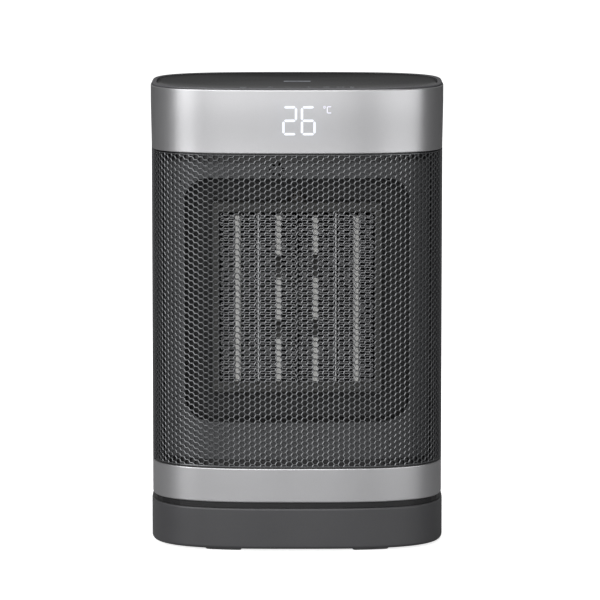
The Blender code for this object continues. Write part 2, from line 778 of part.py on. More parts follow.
def flat_sheet(name, outlines, thickness):
    """Mesh of a flat sheet with holes, from closed outlines drawn as one 2D curve."""
    curve = bpy.data.curves.new(name, "CURVE")
    curve.dimensions = "2D"
    curve.fill_mode = "BOTH"
    curve.extrude = thickness / 2
    for outline in outlines:
        spline = curve.splines.new("POLY")
        spline.use_cyclic_u = True
        spline.points.add(len(outline) - 1)
        for index, (u, v) in enumerate(outline):
            spline.points[index].co = (u, v, 0, 1)
    flat = bpy.data.objects.new(name, curve)
    bpy.data.collections["heater_guides"].objects.link(flat)
    graph = bpy.context.evaluated_depsgraph_get()
    sheet = bmesh.new()
    sheet.from_mesh(bpy.data.meshes.new_from_object(flat.evaluated_get(graph)))
    bpy.data.objects.remove(flat, do_unlink=True)
    bmesh.ops.remove_doubles(sheet, verts=sheet.verts[:], dist=MERGE_DISTANCE)
    bmesh.ops.beautify_fill(sheet, faces=sheet.faces[:], edges=sheet.edges[:])
    return sheet


def make_front_grille():
    """A sheet punched flat and then bent round the front of the outline."""
    lengths, places, normals = bend_table()
    across = np.linspace(lengths[0], lengths[-1], GRILLE_EDGE_STEPS + 1)
    border = [(u, GRILLE_BOTTOM) for u in across] + [(u, GRILLE_TOP) for u in across[::-1]]
    sheet = flat_sheet("grille_sheet", [border] + hole_outlines(lengths[-1]), GRILLE_SHEET)
    for vert in sheet.verts:
        u, z, rise = vert.co
        depth = GRILLE_SHEET / 2 - rise
        x = np.interp(u, lengths, places[:, 0]) + depth * np.interp(u, lengths, normals[:, 0])
        y = np.interp(u, lengths, places[:, 1]) + depth * np.interp(u, lengths, normals[:, 1])
        vert.co = (x, y, z)
    add_object("front_grille", sheet, "grille")


def slot_outline(width, height, centre_u, centre_v):
    """Slot with rounded ends."""
    points = []
    for side in (0, 1):
        for step in range(SLOT_END_STEPS + 1):
            angle = math.pi * (side + step / SLOT_END_STEPS) - math.pi / 2
            shift = (width - height) / 2 * (1 - 2 * side)
            u = centre_u + shift + height / 2 * math.cos(angle)
            points.append((u, centre_v + height / 2 * math.sin(angle)))
    return points


def make_rear_housing():
    profile = skin_profile(BODY_BOTTOM, BODY_TOP)
    profile += [(HOUSING_INNER, BODY_TOP), (HOUSING_INNER, BODY_BOTTOM)]
    seam = GRILLE_SEAM + FIT / 2
    housing = sweep("rear_housing", profile, seam, "rear", "dark_plastic", SWEEP_STATIONS)
    front = -BODY_DEPTH / 2
    depth = BAND_SEAM + FIT / 2 - front
    width = BODY_WIDTH + 2 * OVERRUN
    for name, low, high in (
        ("lower_band_room", BODY_BOTTOM - OVERRUN, GRILLE_BOTTOM),
        ("upper_band_room", GRILLE_TOP, BODY_TOP + OVERRUN),
    ):
        centre = (0, front + depth / 2, (low + high) / 2)
        combine(housing, block(name, (width, depth, high - low), centre, None))
    combine(housing, make_slot_tool())
    combine(housing, make_grip_tool("grip_hole", FIT, BODY_DEPTH / 2 + OVERRUN))
    combine(housing, make_switch_tool())


def make_slot_tool():
    """All intake slots as one set of cutters."""
    tool = bmesh.new()
    for column in range(SLOT_COLUMNS):
        for row in range(SLOT_ROWS):
            u = (column - (SLOT_COLUMNS - 1) / 2) * SLOT_COLUMN_PITCH
            v = CORE_HEIGHT_Z + (row - (SLOT_ROWS - 1) / 2) * SLOT_PITCH
            outline = slot_outline(SLOT_WIDTH, SLOT_HEIGHT, u, v)
            low = BODY_DEPTH / 2 - GRIP_DEPTH
            verts = [tool.verts.new((x, low, z)) for x, z in outline]
            grown = bmesh.ops.extrude_face_region(tool, geom=[tool.faces.new(verts)])["geom"]
            fresh = [item for item in grown if isinstance(item, bmesh.types.BMVert)]
            bmesh.ops.translate(tool, verts=fresh, vec=(0, GRIP_DEPTH + OVERRUN, 0))
    return add_object("intake_slots", tool, None)


def grip_height():
    return BODY_TOP - GRIP_DROP


def make_grip_tool(name, grow, end):
    outline = rounded_rectangle(
        GRIP_WIDTH + 2 * grow, GRIP_HEIGHT + 2 * grow, GRIP_ROUND + grow, grip_height()
    )
    low = BODY_DEPTH / 2 - WAIST_INSET - GRIP_DEPTH
    return prism(name, outline, low, end, "Y", None)


def make_grip_recess():
    """Moulded cup for the fingers, trimmed to the skin of the housing."""
    outline = rounded_rectangle(GRIP_WIDTH, GRIP_HEIGHT, GRIP_ROUND, grip_height())
    back = BODY_DEPTH / 2 + OVERRUN
    low = BODY_DEPTH / 2 - WAIST_INSET - GRIP_DEPTH
    cup = prism("grip_recess", outline, low, back, "Y", "black_plastic")
    hollow = rounded_rectangle(
        GRIP_WIDTH - 2 * GRIP_WALL,
        GRIP_HEIGHT - 2 * GRIP_WALL,
        GRIP_ROUND - GRIP_WALL,
        grip_height(),
    )
    combine(cup, prism("grip_hollow", hollow, low + GRIP_WALL, back + OVERRUN, "Y", None))
    rings = [
        section(WAIST_INSET, UPPER_BAND_BOTTOM - GRIP_HEIGHT),
        section(WAIST_INSET, BODY_TOP),
    ]
    combine(cup, skin("skin_trim", rings, None), "INTERSECT")


def switch_pose():
    """Place on the housing's skin and turn about Z of the mains switch."""
    depth = outline_depth(WAIST_INSET, SWITCH_X)
    power = OUTLINE_POWER - 1
    pull_x = (SWITCH_X / (BODY_WIDTH / 2 - WAIST_INSET)) ** power / (BODY_WIDTH / 2 - WAIST_INSET)
    pull_y = (depth / (BODY_DEPTH / 2 - WAIST_INSET)) ** power / (BODY_DEPTH / 2 - WAIST_INSET)
    turn = -math.atan2(pull_x, pull_y)
    return Vector((SWITCH_X, depth, BODY_BOTTOM + SWITCH_DROP)), turn


def place_switch_part(item, reach=0.0):
    place, turn = switch_pose()
    outward = Matrix.Rotation(turn, 3, "Z") @ Vector((0, reach, 0))
    item.location = place + outward
    item.rotation_euler = (0, 0, turn)


def make_switch_tool():
    width = BEZEL_WIDTH - 2 * BEZEL_BORDER + 2 * FIT
    height = BEZEL_HEIGHT - 2 * BEZEL_BORDER + 2 * FIT
    tool = block("switch_hole", (width, 4 * OVERRUN, height), (0, 0, 0), None)
    place_switch_part(tool)
    return tool


def make_switch_body():
    """Snap-in switch body with a bezel and an open pocket for the rocker."""
    bezel_foot = 2 * FIT
    size = (BEZEL_WIDTH, BEZEL_LIP, BEZEL_HEIGHT)
    body = block("switch_body", size, (0, bezel_foot + BEZEL_LIP / 2, 0), "black_plastic")
    width = BEZEL_WIDTH - 2 * BEZEL_BORDER
    height = BEZEL_HEIGHT - 2 * BEZEL_BORDER
    depth = SWITCH_BODY_DEPTH + bezel_foot + BEZEL_LIP / 2
    centre = (0, bezel_foot + BEZEL_LIP / 2 - depth / 2, 0)
    core = block("switch_core", (width, depth, height), centre, None)
    pocket_width = ROCKER_WIDTH + 2 * FIT
    pocket_height = ROCKER_HEIGHT + 2 * ROCKER_PLAY
    pocket_depth = 2 * ROCKER_BELLY + OVERRUN
    pocket_centre = (0, OVERRUN - pocket_depth / 2, 0)
    pocket_size = (pocket_width, pocket_depth, pocket_height)
    pocket = block("switch_pocket", pocket_size, pocket_centre, None)
    for item in (body, core, pocket):
        place_switch_part(item)
    combine(body, core, "UNION")
    combine(body, pocket)


def make_power_rocker():
    """Rocker with its origin on its pivot axis, tilted to the off seat."""
    half = ROCKER_HEIGHT / 2
    profile = [
        (ROCKER_CREST, half),
        (ROCKER_DIP, 0),
        (ROCKER_CREST, -half),
        (-ROCKER_BELLY / 2, -half),
        (-ROCKER_BELLY, 0),
        (-ROCKER_BELLY / 2, half),
    ]
    sections = []
    for x in (-ROCKER_WIDTH / 2, ROCKER_WIDTH / 2):
        sections.append([Vector((x, y, z)) for y, z in profile])
    rocker = skin("power_rocker", sections, "black_plastic")
    place_switch_part(rocker)
    _, turn = switch_pose()
    rocker.rotation_euler = (ROCKER_TILT, 0, turn)


def make_dust_filter():
    """Filter pad that lies against the inside of the intake slots."""
    inner = HOUSING_INNER + FIT
    reach = SLOT_COLUMN_PITCH * (SLOT_COLUMNS - 1) / 2 + SLOT_WIDTH / 2 + FILTER_MARGIN
    low = CORE_HEIGHT_Z - SLOT_PITCH * (SLOT_ROWS - 1) / 2 - SLOT_HEIGHT / 2 - FILTER_MARGIN
    high = 2 * CORE_HEIGHT_Z - low
    profile = [
        (inner, low),
        (inner, high),
        (inner + FILTER_WALL, high),
        (inner + FILTER_WALL, low),
    ]
    end_y = outline_depth(inner + FILTER_WALL, reach)
    sweep("dust_filter", profile, end_y, "rear", "wool", FILTER_STATIONS)


def cover_levels():
    """Front height of the cover's top edge and how much the rear edge lies higher."""
    return COVER_BOTTOM + COVER_FRONT_EDGE, COVER_REAR_EDGE - COVER_FRONT_EDGE


def make_top_cover():
    """Cap with a plug inside the walls, a rounded rim, a pocket for the panel and four posts."""
    front, tilt = cover_levels()
    pocket = COVER_INSET + PANEL_MARGIN
    floor = front - PANEL_THICKNESS - FIT
    plug = BAND_INNER + FIT
    rings = [
        section(plug, COVER_BOTTOM - PLUG_DEPTH),
        section(plug, COVER_BOTTOM),
        section(COVER_INSET, COVER_BOTTOM),
    ]
    for share in COVER_ROUND_SHARES:
        rise = math.sin(share * math.pi / 2)
        inset = COVER_INSET + COVER_FRONT_EDGE * (1 - math.cos(share * math.pi / 2))
        rings.append(
            section(inset, COVER_BOTTOM + COVER_FRONT_EDGE * rise, tilt * rise)
        )
    rings += [section(pocket, front, tilt), section(pocket, floor, tilt)]
    cover = skin("top_cover", rings, "black_plastic")
    top = COVER_BOTTOM - PLUG_DEPTH
    outline = ring_outline(POST_RADIUS, PIN_STEPS)
    for index, (sign_x, sign_y) in enumerate(((-1, -1), (1, -1), (1, 1), (-1, 1))):
        post = prism(f"post_{index}", outline, top - POST_LENGTH, top + FIT, "Z", None)
        reach_x = BOARD_WIDTH / 2 - POST_INSET
        reach_y = BOARD_DEPTH / 2 - POST_INSET
        post.location = (sign_x * reach_x, sign_y * reach_y, 0)
        combine(cover, post, "UNION")


def make_touch_panel():
    front, tilt = cover_levels()
    inset = COVER_INSET + PANEL_MARGIN + FIT
    bottom = front - PANEL_THICKNESS
    rings = [
        section(inset, bottom, tilt),
        section(inset, front - PANEL_CROWN, tilt),
        section(inset + PANEL_EDGE / 2, front, tilt),
        section(inset + 2 * PANEL_EDGE, front + PANEL_CROWN, tilt),
    ]
    skin("touch_panel", rings, "glass")


def make_electronics():
    top = COVER_BOTTOM - PLUG_DEPTH - POST_LENGTH - FIT
    size = (BOARD_WIDTH, BOARD_DEPTH, BOARD_THICKNESS)
    block("control_board", size, (0, 0, top - BOARD_THICKNESS / 2), "board")
    bottom = top - BOARD_THICKNESS - FIT
    size = (RELAY_WIDTH, RELAY_DEPTH, RELAY_HEIGHT)
    relay = block("power_relay", size, (RELAY_X, 0, bottom - RELAY_HEIGHT / 2), "black_plastic")
    bevel(relay, SMALL_BEVEL)
    front = outline_depth(BAND_INNER, DISPLAY_WIDTH / 2) - FIT
    middle = DISPLAY_FLOOR + DISPLAY_MARGIN + DISPLAY_HEIGHT / 2
    size = (DISPLAY_WIDTH, DISPLAY_DEPTH, DISPLAY_HEIGHT)
    centre = (0, DISPLAY_DEPTH / 2 - front, middle)
    bevel(block("display_module", size, centre, "white_plastic"), SMALL_BEVEL)


def opening_tool(name, grow, low, high, finish=None):
    outline = rounded_rectangle(
        OPENING_WIDTH + 2 * grow, OPENING_HEIGHT + 2 * grow, OPENING_ROUND + grow, CORE_HEIGHT_Z
    )
    return prism(name, outline, low, high, "Y", finish)


def vent_height():
    return CORE_HEIGHT_Z + OPENING_HEIGHT / 2 + SENSOR_RISE


def make_baffle():
    """Curved plate behind the grille with the rounded outlet and the sensor's vent holes."""
    outer = FLANGE_INNER + FIT
    low = GRILLE_BOTTOM - BAFFLE_LAP
    high = GRILLE_TOP + BAFFLE_LAP
    profile = [(outer, low), (outer, high), (BAFFLE_INNER, high), (BAFFLE_INNER, low)]
    baffle = sweep("baffle", profile, GRILLE_SEAM, "front", "heat_plastic", SWEEP_STATIONS)
    front = -BODY_DEPTH / 2 - OVERRUN
    combine(baffle, opening_tool("outlet_hole", 0, front, GRILLE_SEAM + OVERRUN))
    tool = bmesh.new()
    upright = Matrix.Rotation(math.pi / 2, 4, "X")
    for index in range(VENT_COUNT):
        angle = 2 * math.pi * index / VENT_COUNT
        u = SENSOR_X + VENT_SPREAD * math.cos(angle)
        v = vent_height() + VENT_SPREAD * math.sin(angle)
        bmesh.ops.create_cone(
            tool,
            cap_ends=True,
            segments=6,
            radius1=VENT_RADIUS,
            radius2=VENT_RADIUS,
            depth=4 * OVERRUN,
            matrix=Matrix.Translation((u, -BODY_DEPTH / 2, v)) @ upright,
        )
    combine(baffle, add_object("sensor_vents", tool, None))


def make_room_sensor():
    y = -outline_depth(BAFFLE_INNER, SENSOR_X) + FIT
    profile = [
        (0, 0),
        (SENSOR_RADIUS, 0),
        (SENSOR_RADIUS, -SENSOR_LENGTH),
        (0, -SENSOR_LENGTH),
    ]
    place = (SENSOR_X, y, vent_height())
    turned("room_sensor", profile, place, (math.pi / 2, 0, 0), "ceramic", steps=PIN_STEPS)


def tray_levels():
    """Front and rear faces of the tray's floor."""
    front = TRAY_FLOOR_SETBACK - BODY_DEPTH / 2
    return front - TRAY_WALL, front


def frame_size():
    return CORE_WIDTH + 2 * FRAME_WALL, CORE_HEIGHT + 2 * FRAME_SILL


def centred_rectangle(width, height):
    low, high = CORE_HEIGHT_Z - height / 2, CORE_HEIGHT_Z + height / 2
    return [(-width / 2, low), (width / 2, low), (width / 2, high), (-width / 2, high)]


def make_heater_tray():
    """Recessed well behind the outlet. Its rim follows the back of the baffle."""
    floor, back = tray_levels()
    front = -BODY_DEPTH / 2
    tray = opening_tool("heater_tray", TRAY_WALL, front, back, "heat_plastic")
    combine(tray, opening_tool("tray_hollow", 0, front - OVERRUN, floor))
    width, height = frame_size()
    hole = centred_rectangle(width + 2 * FIT, height + 2 * FIT)
    combine(tray, prism("frame_hole", hole, floor - OVERRUN, back + OVERRUN, "Y", None))
    low = LOWER_BAND_TOP
    rings = [section(BAFFLE_INNER + FIT, low), section(BAFFLE_INNER + FIT, UPPER_BAND_BOTTOM)]
    combine(tray, skin("baffle_trim", rings, None), "INTERSECT")


def frame_front():
    return tray_levels()[1] - FRAME_PROUD


def make_core_frame():
    width, height = frame_size()
    front = frame_front()
    back = front + FRAME_DEPTH
    outline = centred_rectangle(width, height)
    frame = prism("core_frame", outline, front, back, "Y", "heat_plastic")
    opening = centred_rectangle(CORE_WIDTH, CORE_HEIGHT)
    combine(frame, prism("frame_opening", opening, front - OVERRUN, back + OVERRUN, "Y", None))
    bevel(frame, SMALL_BEVEL)


def core_levels():
    front = frame_front() + (FRAME_DEPTH - CORE_DEPTH) / 2
    return front, front + CORE_DEPTH


def make_core_plates():
    """Ceramic bars and electrode strips, with a corrugated fin bank in each gap."""
    half = CORE_WIDTH / 2
    low = CORE_HEIGHT_Z - CORE_HEIGHT / 2 + FIT
    front, back = core_levels()
    plates = [(share * half, BAR_WIDTH, "ceramic", "ptc_bar") for share in BAR_SPREAD_SHARES]
    plates += [
        (share * half, STRIP_WIDTH, "aluminium", "electrode") for share in STRIP_SPREAD_SHARES
    ]
    plates.sort()
    counts = {"ptc_bar": 0, "electrode": 0}
    start = -half + FIT
    for x, width, finish, kind in plates:
        counts[kind] += 1
        size = (width, back - front, CORE_HEIGHT - 2 * FIT)
        centre = (x, (front + back) / 2, CORE_HEIGHT_Z)
        block(f"{kind}_{counts[kind]}", size, centre, finish)
        make_fin_bank(sum(counts.values()), start, x - width / 2 - FIT, low)
        start = x + width / 2 + FIT
    make_fin_bank(len(plates) + 1, start, half - FIT, low)


def make_fin_bank(number, left, right, low):
    """One strip folded to and fro between two plates."""
    front, back = core_levels()
    height = CORE_HEIGHT - 2 * FIT
    folds = 2 * int(height / FIN_PITCH)
    line = []
    for fold in range(folds + 1):
        line.append((right if fold % 2 else left + FIN_FOLD, low + height * fold / folds))
    outline = line + [(x - FIN_FOLD, z) for x, z in reversed(line)]
    prism(f"fin_bank_{number}", outline, front, back, "Y", "aluminium")


def make_thermal_cutout():
    """Disc thermostat on top of the core frame."""
    width, height = frame_size()
    cap = CUTOUT_RADIUS * CUTOUT_CAP_SHARE
    profile = [
        (0, CUTOUT_HEIGHT),
        (cap, CUTOUT_HEIGHT),
        (cap, CUTOUT_HEIGHT / 2),
        (CUTOUT_RADIUS, CUTOUT_HEIGHT / 2),
        (CUTOUT_RADIUS, 0),
        (0, 0),
    ]
    middle = (frame_front() + tray_levels()[0]) / 2
    place = (0, middle, CORE_HEIGHT_Z + height / 2 + FIT)
    turned("thermal_cutout", profile, place, (0, 0, 0), "ceramic")


# Fan


def shroud_start():
    return frame_front() + FRAME_DEPTH + FIT


def make_fan_shroud():
    width, height = frame_size()
    start = shroud_start()
    plate_width = width + 2 * SHROUD_BORDER
    plate_height = height + 2 * SHROUD_BORDER
    outline = rounded_rectangle(plate_width, plate_height, SHROUD_BORDER, CORE_HEIGHT_Z)
    plate = prism("fan_shroud", outline, start, start + SHROUD_PLATE, "Y", "heat_plastic")
    duct = ring_outline(SHROUD_BORE + SHROUD_WALL, FINE_STEPS)
    tube = prism("shroud_tube", duct, start + SHROUD_PLATE / 2, start + SHROUD_LENGTH, "Y", None)
    bore = ring_outline(SHROUD_BORE, FINE_STEPS)
    hole = prism("shroud_hole", bore, start - OVERRUN, start + SHROUD_LENGTH + OVERRUN, "Y", None)
    for item in (tube, hole):
        item.location = (0, 0, CORE_HEIGHT_Z)
    combine(plate, tube, "UNION")
    combine(plate, hole)


def rotor_start():
    return shroud_start() + SHROUD_PLATE + ROTOR_SETBACK


def motor_face():
    return shroud_start() + SHROUD_LENGTH


def blade_section(radius, share):
    """Blade section at a radius: a thin lens, pitched and wrapped round the axis."""
    pitch = BLADE_ROOT_PITCH + (BLADE_TIP_PITCH - BLADE_ROOT_PITCH) * share
    half = BLADE_CHORD / 2
    thick = BLADE_THICKNESS / 2
    lens = ((-half, 0), (0, -thick), (half, 0), (0, thick))
    ring = []
    for along, off in lens:
        around = (along * math.cos(pitch) - off * math.sin(pitch)) / radius
        axial = along * math.sin(pitch) + off * math.cos(pitch)
        ring.append(Vector((radius * math.cos(around), radius * math.sin(around), axial)))
    return ring


def make_fan_rotor():
    """Seven-blade rotor on a cup hub. Its own Z is the shaft, which points to the motor."""
    start = rotor_start()
    half = ROTOR_HUB_LENGTH / 2
    shaft_end = motor_face() - FIT - (start + half)
    edge = 2 * SMALL_BEVEL
    profile = [
        (0, shaft_end),
        (ROTOR_SHAFT, shaft_end),
        (ROTOR_SHAFT, half),
        (ROTOR_HUB_RADIUS, half),
        (ROTOR_HUB_RADIUS, edge - half),
        (ROTOR_HUB_RADIUS - edge, -half),
        (0, -half),
    ]
    place = (0, start + half, CORE_HEIGHT_Z)
    turn = (-math.pi / 2, 0, 0)
    rotor = turned("fan_rotor", profile, place, turn, "black_plastic")
    tip = SHROUD_BORE - ROTOR_GAP
    root = ROTOR_HUB_RADIUS - BLADE_ROOT_SINK
    sections = []
    for share in BLADE_STATION_SHARES:
        sections.append(blade_section(root + (tip - root) * share, share))
    for index in range(BLADE_COUNT):
        turn_matrix = Matrix.Rotation(2 * math.pi * index / BLADE_COUNT, 4, "Z")
        rings = [[turn_matrix @ point for point in ring] for ring in sections]
        blade = skin(f"blade_{index}", rings, None)
        blade.location = place
        blade.rotation_euler = turn
        combine(rotor, blade, "UNION")


def make_fan_motor():
    profile = [
        (0, MOTOR_LENGTH),
        (MOTOR_BOSS, MOTOR_LENGTH),
        (MOTOR_BOSS, MOTOR_LENGTH - MOTOR_BOSS_STEP),
        (MOTOR_RADIUS - SMALL_BEVEL, MOTOR_LENGTH - MOTOR_BOSS_STEP),
        (MOTOR_RADIUS, MOTOR_LENGTH - MOTOR_BOSS_STEP - SMALL_BEVEL),
        (MOTOR_RADIUS, SMALL_BEVEL),
        (MOTOR_RADIUS - SMALL_BEVEL, 0),
        (0, 0),
    ]
    place = (0, motor_face(), CORE_HEIGHT_Z)
    turned("fan_motor", profile, place, (-math.pi / 2, 0, 0), "steel")


def make_motor_bracket():
    """Ring round the motor, carried by four arms on the rear edge of the shroud."""
    start = motor_face() + FIT
    end = start + BRACKET_WALL
    outline = ring_outline(MOTOR_RADIUS + FIT + BRACKET_RING, ROUND_STEPS)
    bracket = prism("motor_bracket", outline, start, end, "Y", "steel")
    bracket.location = (0, 0, CORE_HEIGHT_Z)
    reach = 2 * (SHROUD_BORE + SHROUD_WALL)
    for index in range(2):
        size = (reach, BRACKET_WALL, BRACKET_ARM)
        arm = block(f"bracket_arm_{index}", size, (0, 0, 0), None)
        arm.location = (0, (start + end) / 2, CORE_HEIGHT_Z)
        arm.rotation_euler = (0, math.pi / 4 + index * math.pi / 2, 0)
        combine(bracket, arm, "UNION")
    bore = ring_outline(MOTOR_RADIUS + FIT, ROUND_STEPS)
    hole = prism("bracket_bore", bore, start - OVERRUN, end + OVERRUN, "Y", None)
    hole.location = (0, 0, CORE_HEIGHT_Z)
    combine(bracket, hole)


# Wiring


def make_terminal_block():
    bottom = NECK_TOP + FLOOR_STEP + FIT
    size = (BLOCK_WIDTH, BLOCK_DEPTH, BLOCK_HEIGHT)
    terminal = block("terminal_block", size, (0, 0, bottom + BLOCK_HEIGHT / 2), "white_plastic")
    bevel(terminal, SMALL_BEVEL)


def make_wiring_harness():
    """Wire bundle from the terminal block, up the left side, to the control board."""
    start = Vector((-BLOCK_WIDTH / 2 - FIT, 0, NECK_TOP + FLOOR_STEP + FIT + BLOCK_HEIGHT / 2))
    board = COVER_BOTTOM - PLUG_DEPTH - POST_LENGTH - 2 * FIT - BOARD_THICKNESS
    end = Vector((HARNESS_INSET - BOARD_WIDTH / 2, 0, board))
    rise = Vector((0, 0, HARNESS_BEND))
    leave = start - Vector((2 * HARNESS_RADIUS, 0, 0))
    enter = end - Vector((0, 0, 2 * HARNESS_RADIUS))
    corner = Vector((-HARNESS_SIDE, 0, start.z))
    high = Vector((-HARNESS_SIDE, 0, end.z)) - 2 * rise
    count = HARNESS_STEPS + 1
    points = [start] + interpolate_bezier(leave, corner, corner, corner + rise, count)
    points += interpolate_bezier(high, high + rise, enter - rise / 2, enter, count) + [end]
    add_tube("wiring_harness", points, HARNESS_RADIUS, "rubber")


def main():
    clear_scene()
    make_collection("space_heater")
    make_collection("heater_guides")
    make_base_shell()
    make_base_plate()
    make_feet()
    make_cord_gland()
    make_supply_lead()
    make_tip_switch()
    make_oscillation_motor()
    make_oscillation_gear()
    make_drive_pinion()
    make_chassis_floor()
    make_slide_ring()
    make_lower_band()
    make_upper_band()
    make_front_grille()
    make_rear_housing()
    make_grip_recess()
    make_switch_body()
    make_power_rocker()
    make_dust_filter()
    make_top_cover()
    make_touch_panel()
    make_electronics()
    make_baffle()
    make_room_sensor()
    make_heater_tray()
    make_core_frame()
    make_core_plates()
    make_thermal_cutout()
    make_fan_shroud()
    make_fan_rotor()
    make_fan_motor()
    make_motor_bracket()
    make_terminal_block()
    make_wiring_harness()


main()
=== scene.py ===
import sys

import logging
import math
from bisect import bisect_right
from dataclasses import dataclass, field
from enum import Enum

import bmesh
import bpy
from mathutils import Matrix, Vector
from mathutils.bvhtree import BVHTree


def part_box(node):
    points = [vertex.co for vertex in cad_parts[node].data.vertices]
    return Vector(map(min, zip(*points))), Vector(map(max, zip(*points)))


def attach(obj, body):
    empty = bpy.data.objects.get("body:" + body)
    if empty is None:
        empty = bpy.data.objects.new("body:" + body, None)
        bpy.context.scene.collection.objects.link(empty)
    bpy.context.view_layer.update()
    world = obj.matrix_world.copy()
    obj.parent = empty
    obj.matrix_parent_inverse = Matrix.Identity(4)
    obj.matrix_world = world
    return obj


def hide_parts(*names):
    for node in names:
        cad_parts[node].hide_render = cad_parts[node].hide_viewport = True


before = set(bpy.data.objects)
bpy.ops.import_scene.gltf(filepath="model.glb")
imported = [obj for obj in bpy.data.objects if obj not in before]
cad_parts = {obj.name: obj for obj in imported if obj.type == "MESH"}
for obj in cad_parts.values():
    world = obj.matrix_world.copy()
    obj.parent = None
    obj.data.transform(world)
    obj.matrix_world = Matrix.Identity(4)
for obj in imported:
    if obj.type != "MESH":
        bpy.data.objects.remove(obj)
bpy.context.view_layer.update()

LOG = logging.getLogger("space_heater")
MM = 0.001
FIT = 0.3 * MM
CLOSE = 0.25 * MM
MERGE = 0.01 * MM
SMOOTH_LIMIT = math.radians(35)
STEEP = math.radians(60)
FACING = 0.7

Form = bmesh.types.BMesh
Edge = bmesh.types.BMEdge
Vert = bmesh.types.BMVert
Material = bpy.types.Material
Node = bpy.types.Node
Socket = bpy.types.NodeSocket
Paint = dict[str, Material]
Pair = tuple[float, float]
Triple = tuple[float, float, float]
BLACK: Triple = (0.0, 0.0, 0.0)
WHITE: Triple = (1.0, 1.0, 1.0)


class Body(Enum):
    """The rigid bodies of the heater that new pieces ride on."""

    BASE = "base"
    HEATER = "heater"
    ROCKER = "rocker"


class Slot(Enum):
    """The record's material slots, one of which each new piece holds."""

    BASE_PLASTIC = "base_plastic"
    BLACK_PLASTIC = "black_plastic"
    BAND_SILVER = "band_silver"
    GRILLE_METAL = "grille_metal"
    HOUSING_PLASTIC = "housing_plastic"
    PANEL_GLOSS = "panel_gloss"
    CORE_ALUMINIUM = "core_aluminium"
    CORE_CERAMIC = "core_ceramic"
    FOOT_RUBBER = "foot_rubber"
    WHITE_PLASTIC = "white_plastic"


class Segment(Enum):
    """The seven bars of one lit digit, as (column, row, upright)."""

    TOP = (0.0, 1.0, False)
    UPPER_RIGHT = (0.5, 0.5, True)
    LOWER_RIGHT = (0.5, -0.5, True)
    BOTTOM = (0.0, -1.0, False)
    LOWER_LEFT = (-0.5, -0.5, True)
    UPPER_LEFT = (-0.5, 0.5, True)
    MIDDLE = (0.0, 0.0, False)


DIGIT_SEGMENTS = {
    "2": (Segment.TOP, Segment.UPPER_RIGHT, Segment.MIDDLE, Segment.LOWER_LEFT, Segment.BOTTOM),
    "6": (
        Segment.TOP, Segment.UPPER_LEFT, Segment.MIDDLE, Segment.LOWER_LEFT, Segment.LOWER_RIGHT,
        Segment.BOTTOM,
    ),
}


def tone(code: str) -> Triple:
    """Turn a display colour such as #808080 into linear light."""
    parts = (int(code[index : index + 2], 16) / 255 for index in (1, 3, 5))
    return tuple(part / 12.92 if part <= 0.04045 else ((part + 0.055) / 1.055) ** 2.4 for part in parts)


def along(axis: int, length: float) -> Vector:
    """Give a vector of some length along one axis."""
    return Vector([length if index == axis else 0.0 for index in range(3)])


def quarter(share: float) -> Pair:
    """Give the run and the rise of a quarter round, both from 0 to 1."""
    return 1 - math.cos(share * math.pi / 2), math.sin(share * math.pi / 2)


# Form tools


def verts_of(items: list) -> list[Vert]:
    """Pick the points out of what an operator gives."""
    return [item for item in items if isinstance(item, Vert)]


def edges_of(items: list) -> list[Edge]:
    """Pick the edges out of what an operator gives."""
    return [item for item in items if isinstance(item, Edge)]


def everything(form: Form) -> list:
    """List the points, edges and faces of a form."""
    return form.verts[:] + form.edges[:] + form.faces[:]


def edges_along(edges: list[Edge], axis: int, length: float) -> list[Edge]:
    """Pick the edges that run further than a length along one axis."""
    return [edge for edge in edges if abs((edge.verts[0].co - edge.verts[1].co)[axis]) > length]


def steep_edges(form: Form) -> list[Edge]:
    """Pick the edges where two faces meet steeply."""
    return [edge for edge in form.edges if edge.calc_face_angle(0.0) > STEEP]


def face_out(form: Form) -> None:
    """Turn the faces of a form outwards."""
    bmesh.ops.recalc_face_normals(form, faces=form.faces[:])


def weld(form: Form, distance: float = MERGE) -> None:
    """Merge the points of a form that lie in one place."""
    bmesh.ops.remove_doubles(form, verts=form.verts[:], dist=distance)


def shift(form: Form, move: Triple) -> None:
    """Move a whole form."""
    bmesh.ops.translate(form, verts=form.verts[:], vec=move)


def draw_on(form: Form, edges: list[Edge]) -> tuple[list[Edge], list[Vert]]:
    """Extrude edges, and give the new edges and their points."""
    grown = bmesh.ops.extrude_edge_only(form, edges=edges)["geom"]
    return edges_of(grown), verts_of(grown)


def thicken(form: Form, move: Triple) -> None:
    """Give a flat form a second side and the walls between."""
    grown = bmesh.ops.extrude_face_region(form, geom=form.faces[:], use_keep_orig=True)["geom"]
    bmesh.ops.translate(form, verts=verts_of(grown), vec=move)


def round_off(form: Form, geometry: list, width: float, steps: int, corners: bool = False) -> None:
    """Round the given edges of a form, or its corners."""
    bmesh.ops.bevel(
        form, geom=geometry, offset=width, offset_type="OFFSET", segments=steps, profile=0.5,
        affect="VERTICES" if corners else "EDGES", material=-1, clamp_overlap=True,
    )


def block(size: Triple, centre: Vector, turn: float = 0.0) -> Form:
    """Make a rectangular block.

    Args:
        size: Width, depth and height.
        centre: Its middle.
        turn: Turn about the vertical axis.

    Returns:
        The block.
    """
    form = bmesh.new()
    place = Matrix.Translation(centre) @ Matrix.Rotation(turn, 4, "Z") @ Matrix.Diagonal((*size, 1.0))
    bmesh.ops.create_cube(form, size=1.0, matrix=place)
    return form


def rounded_block(size: Triple, centre: Vector, radius: float, steps: int) -> Form:
    """Make a block whose four edges along Y are rounded.

    Args:
        size: Width, depth and height.
        centre: Its middle.
        radius: Radius of the rounded edges.
        steps: Segments of each rounding.

    Returns:
        The block.
    """
    form = block(size, centre)
    round_off(form, edges_along(form.edges[:], 1, size[1] / 2), radius, steps)
    return form


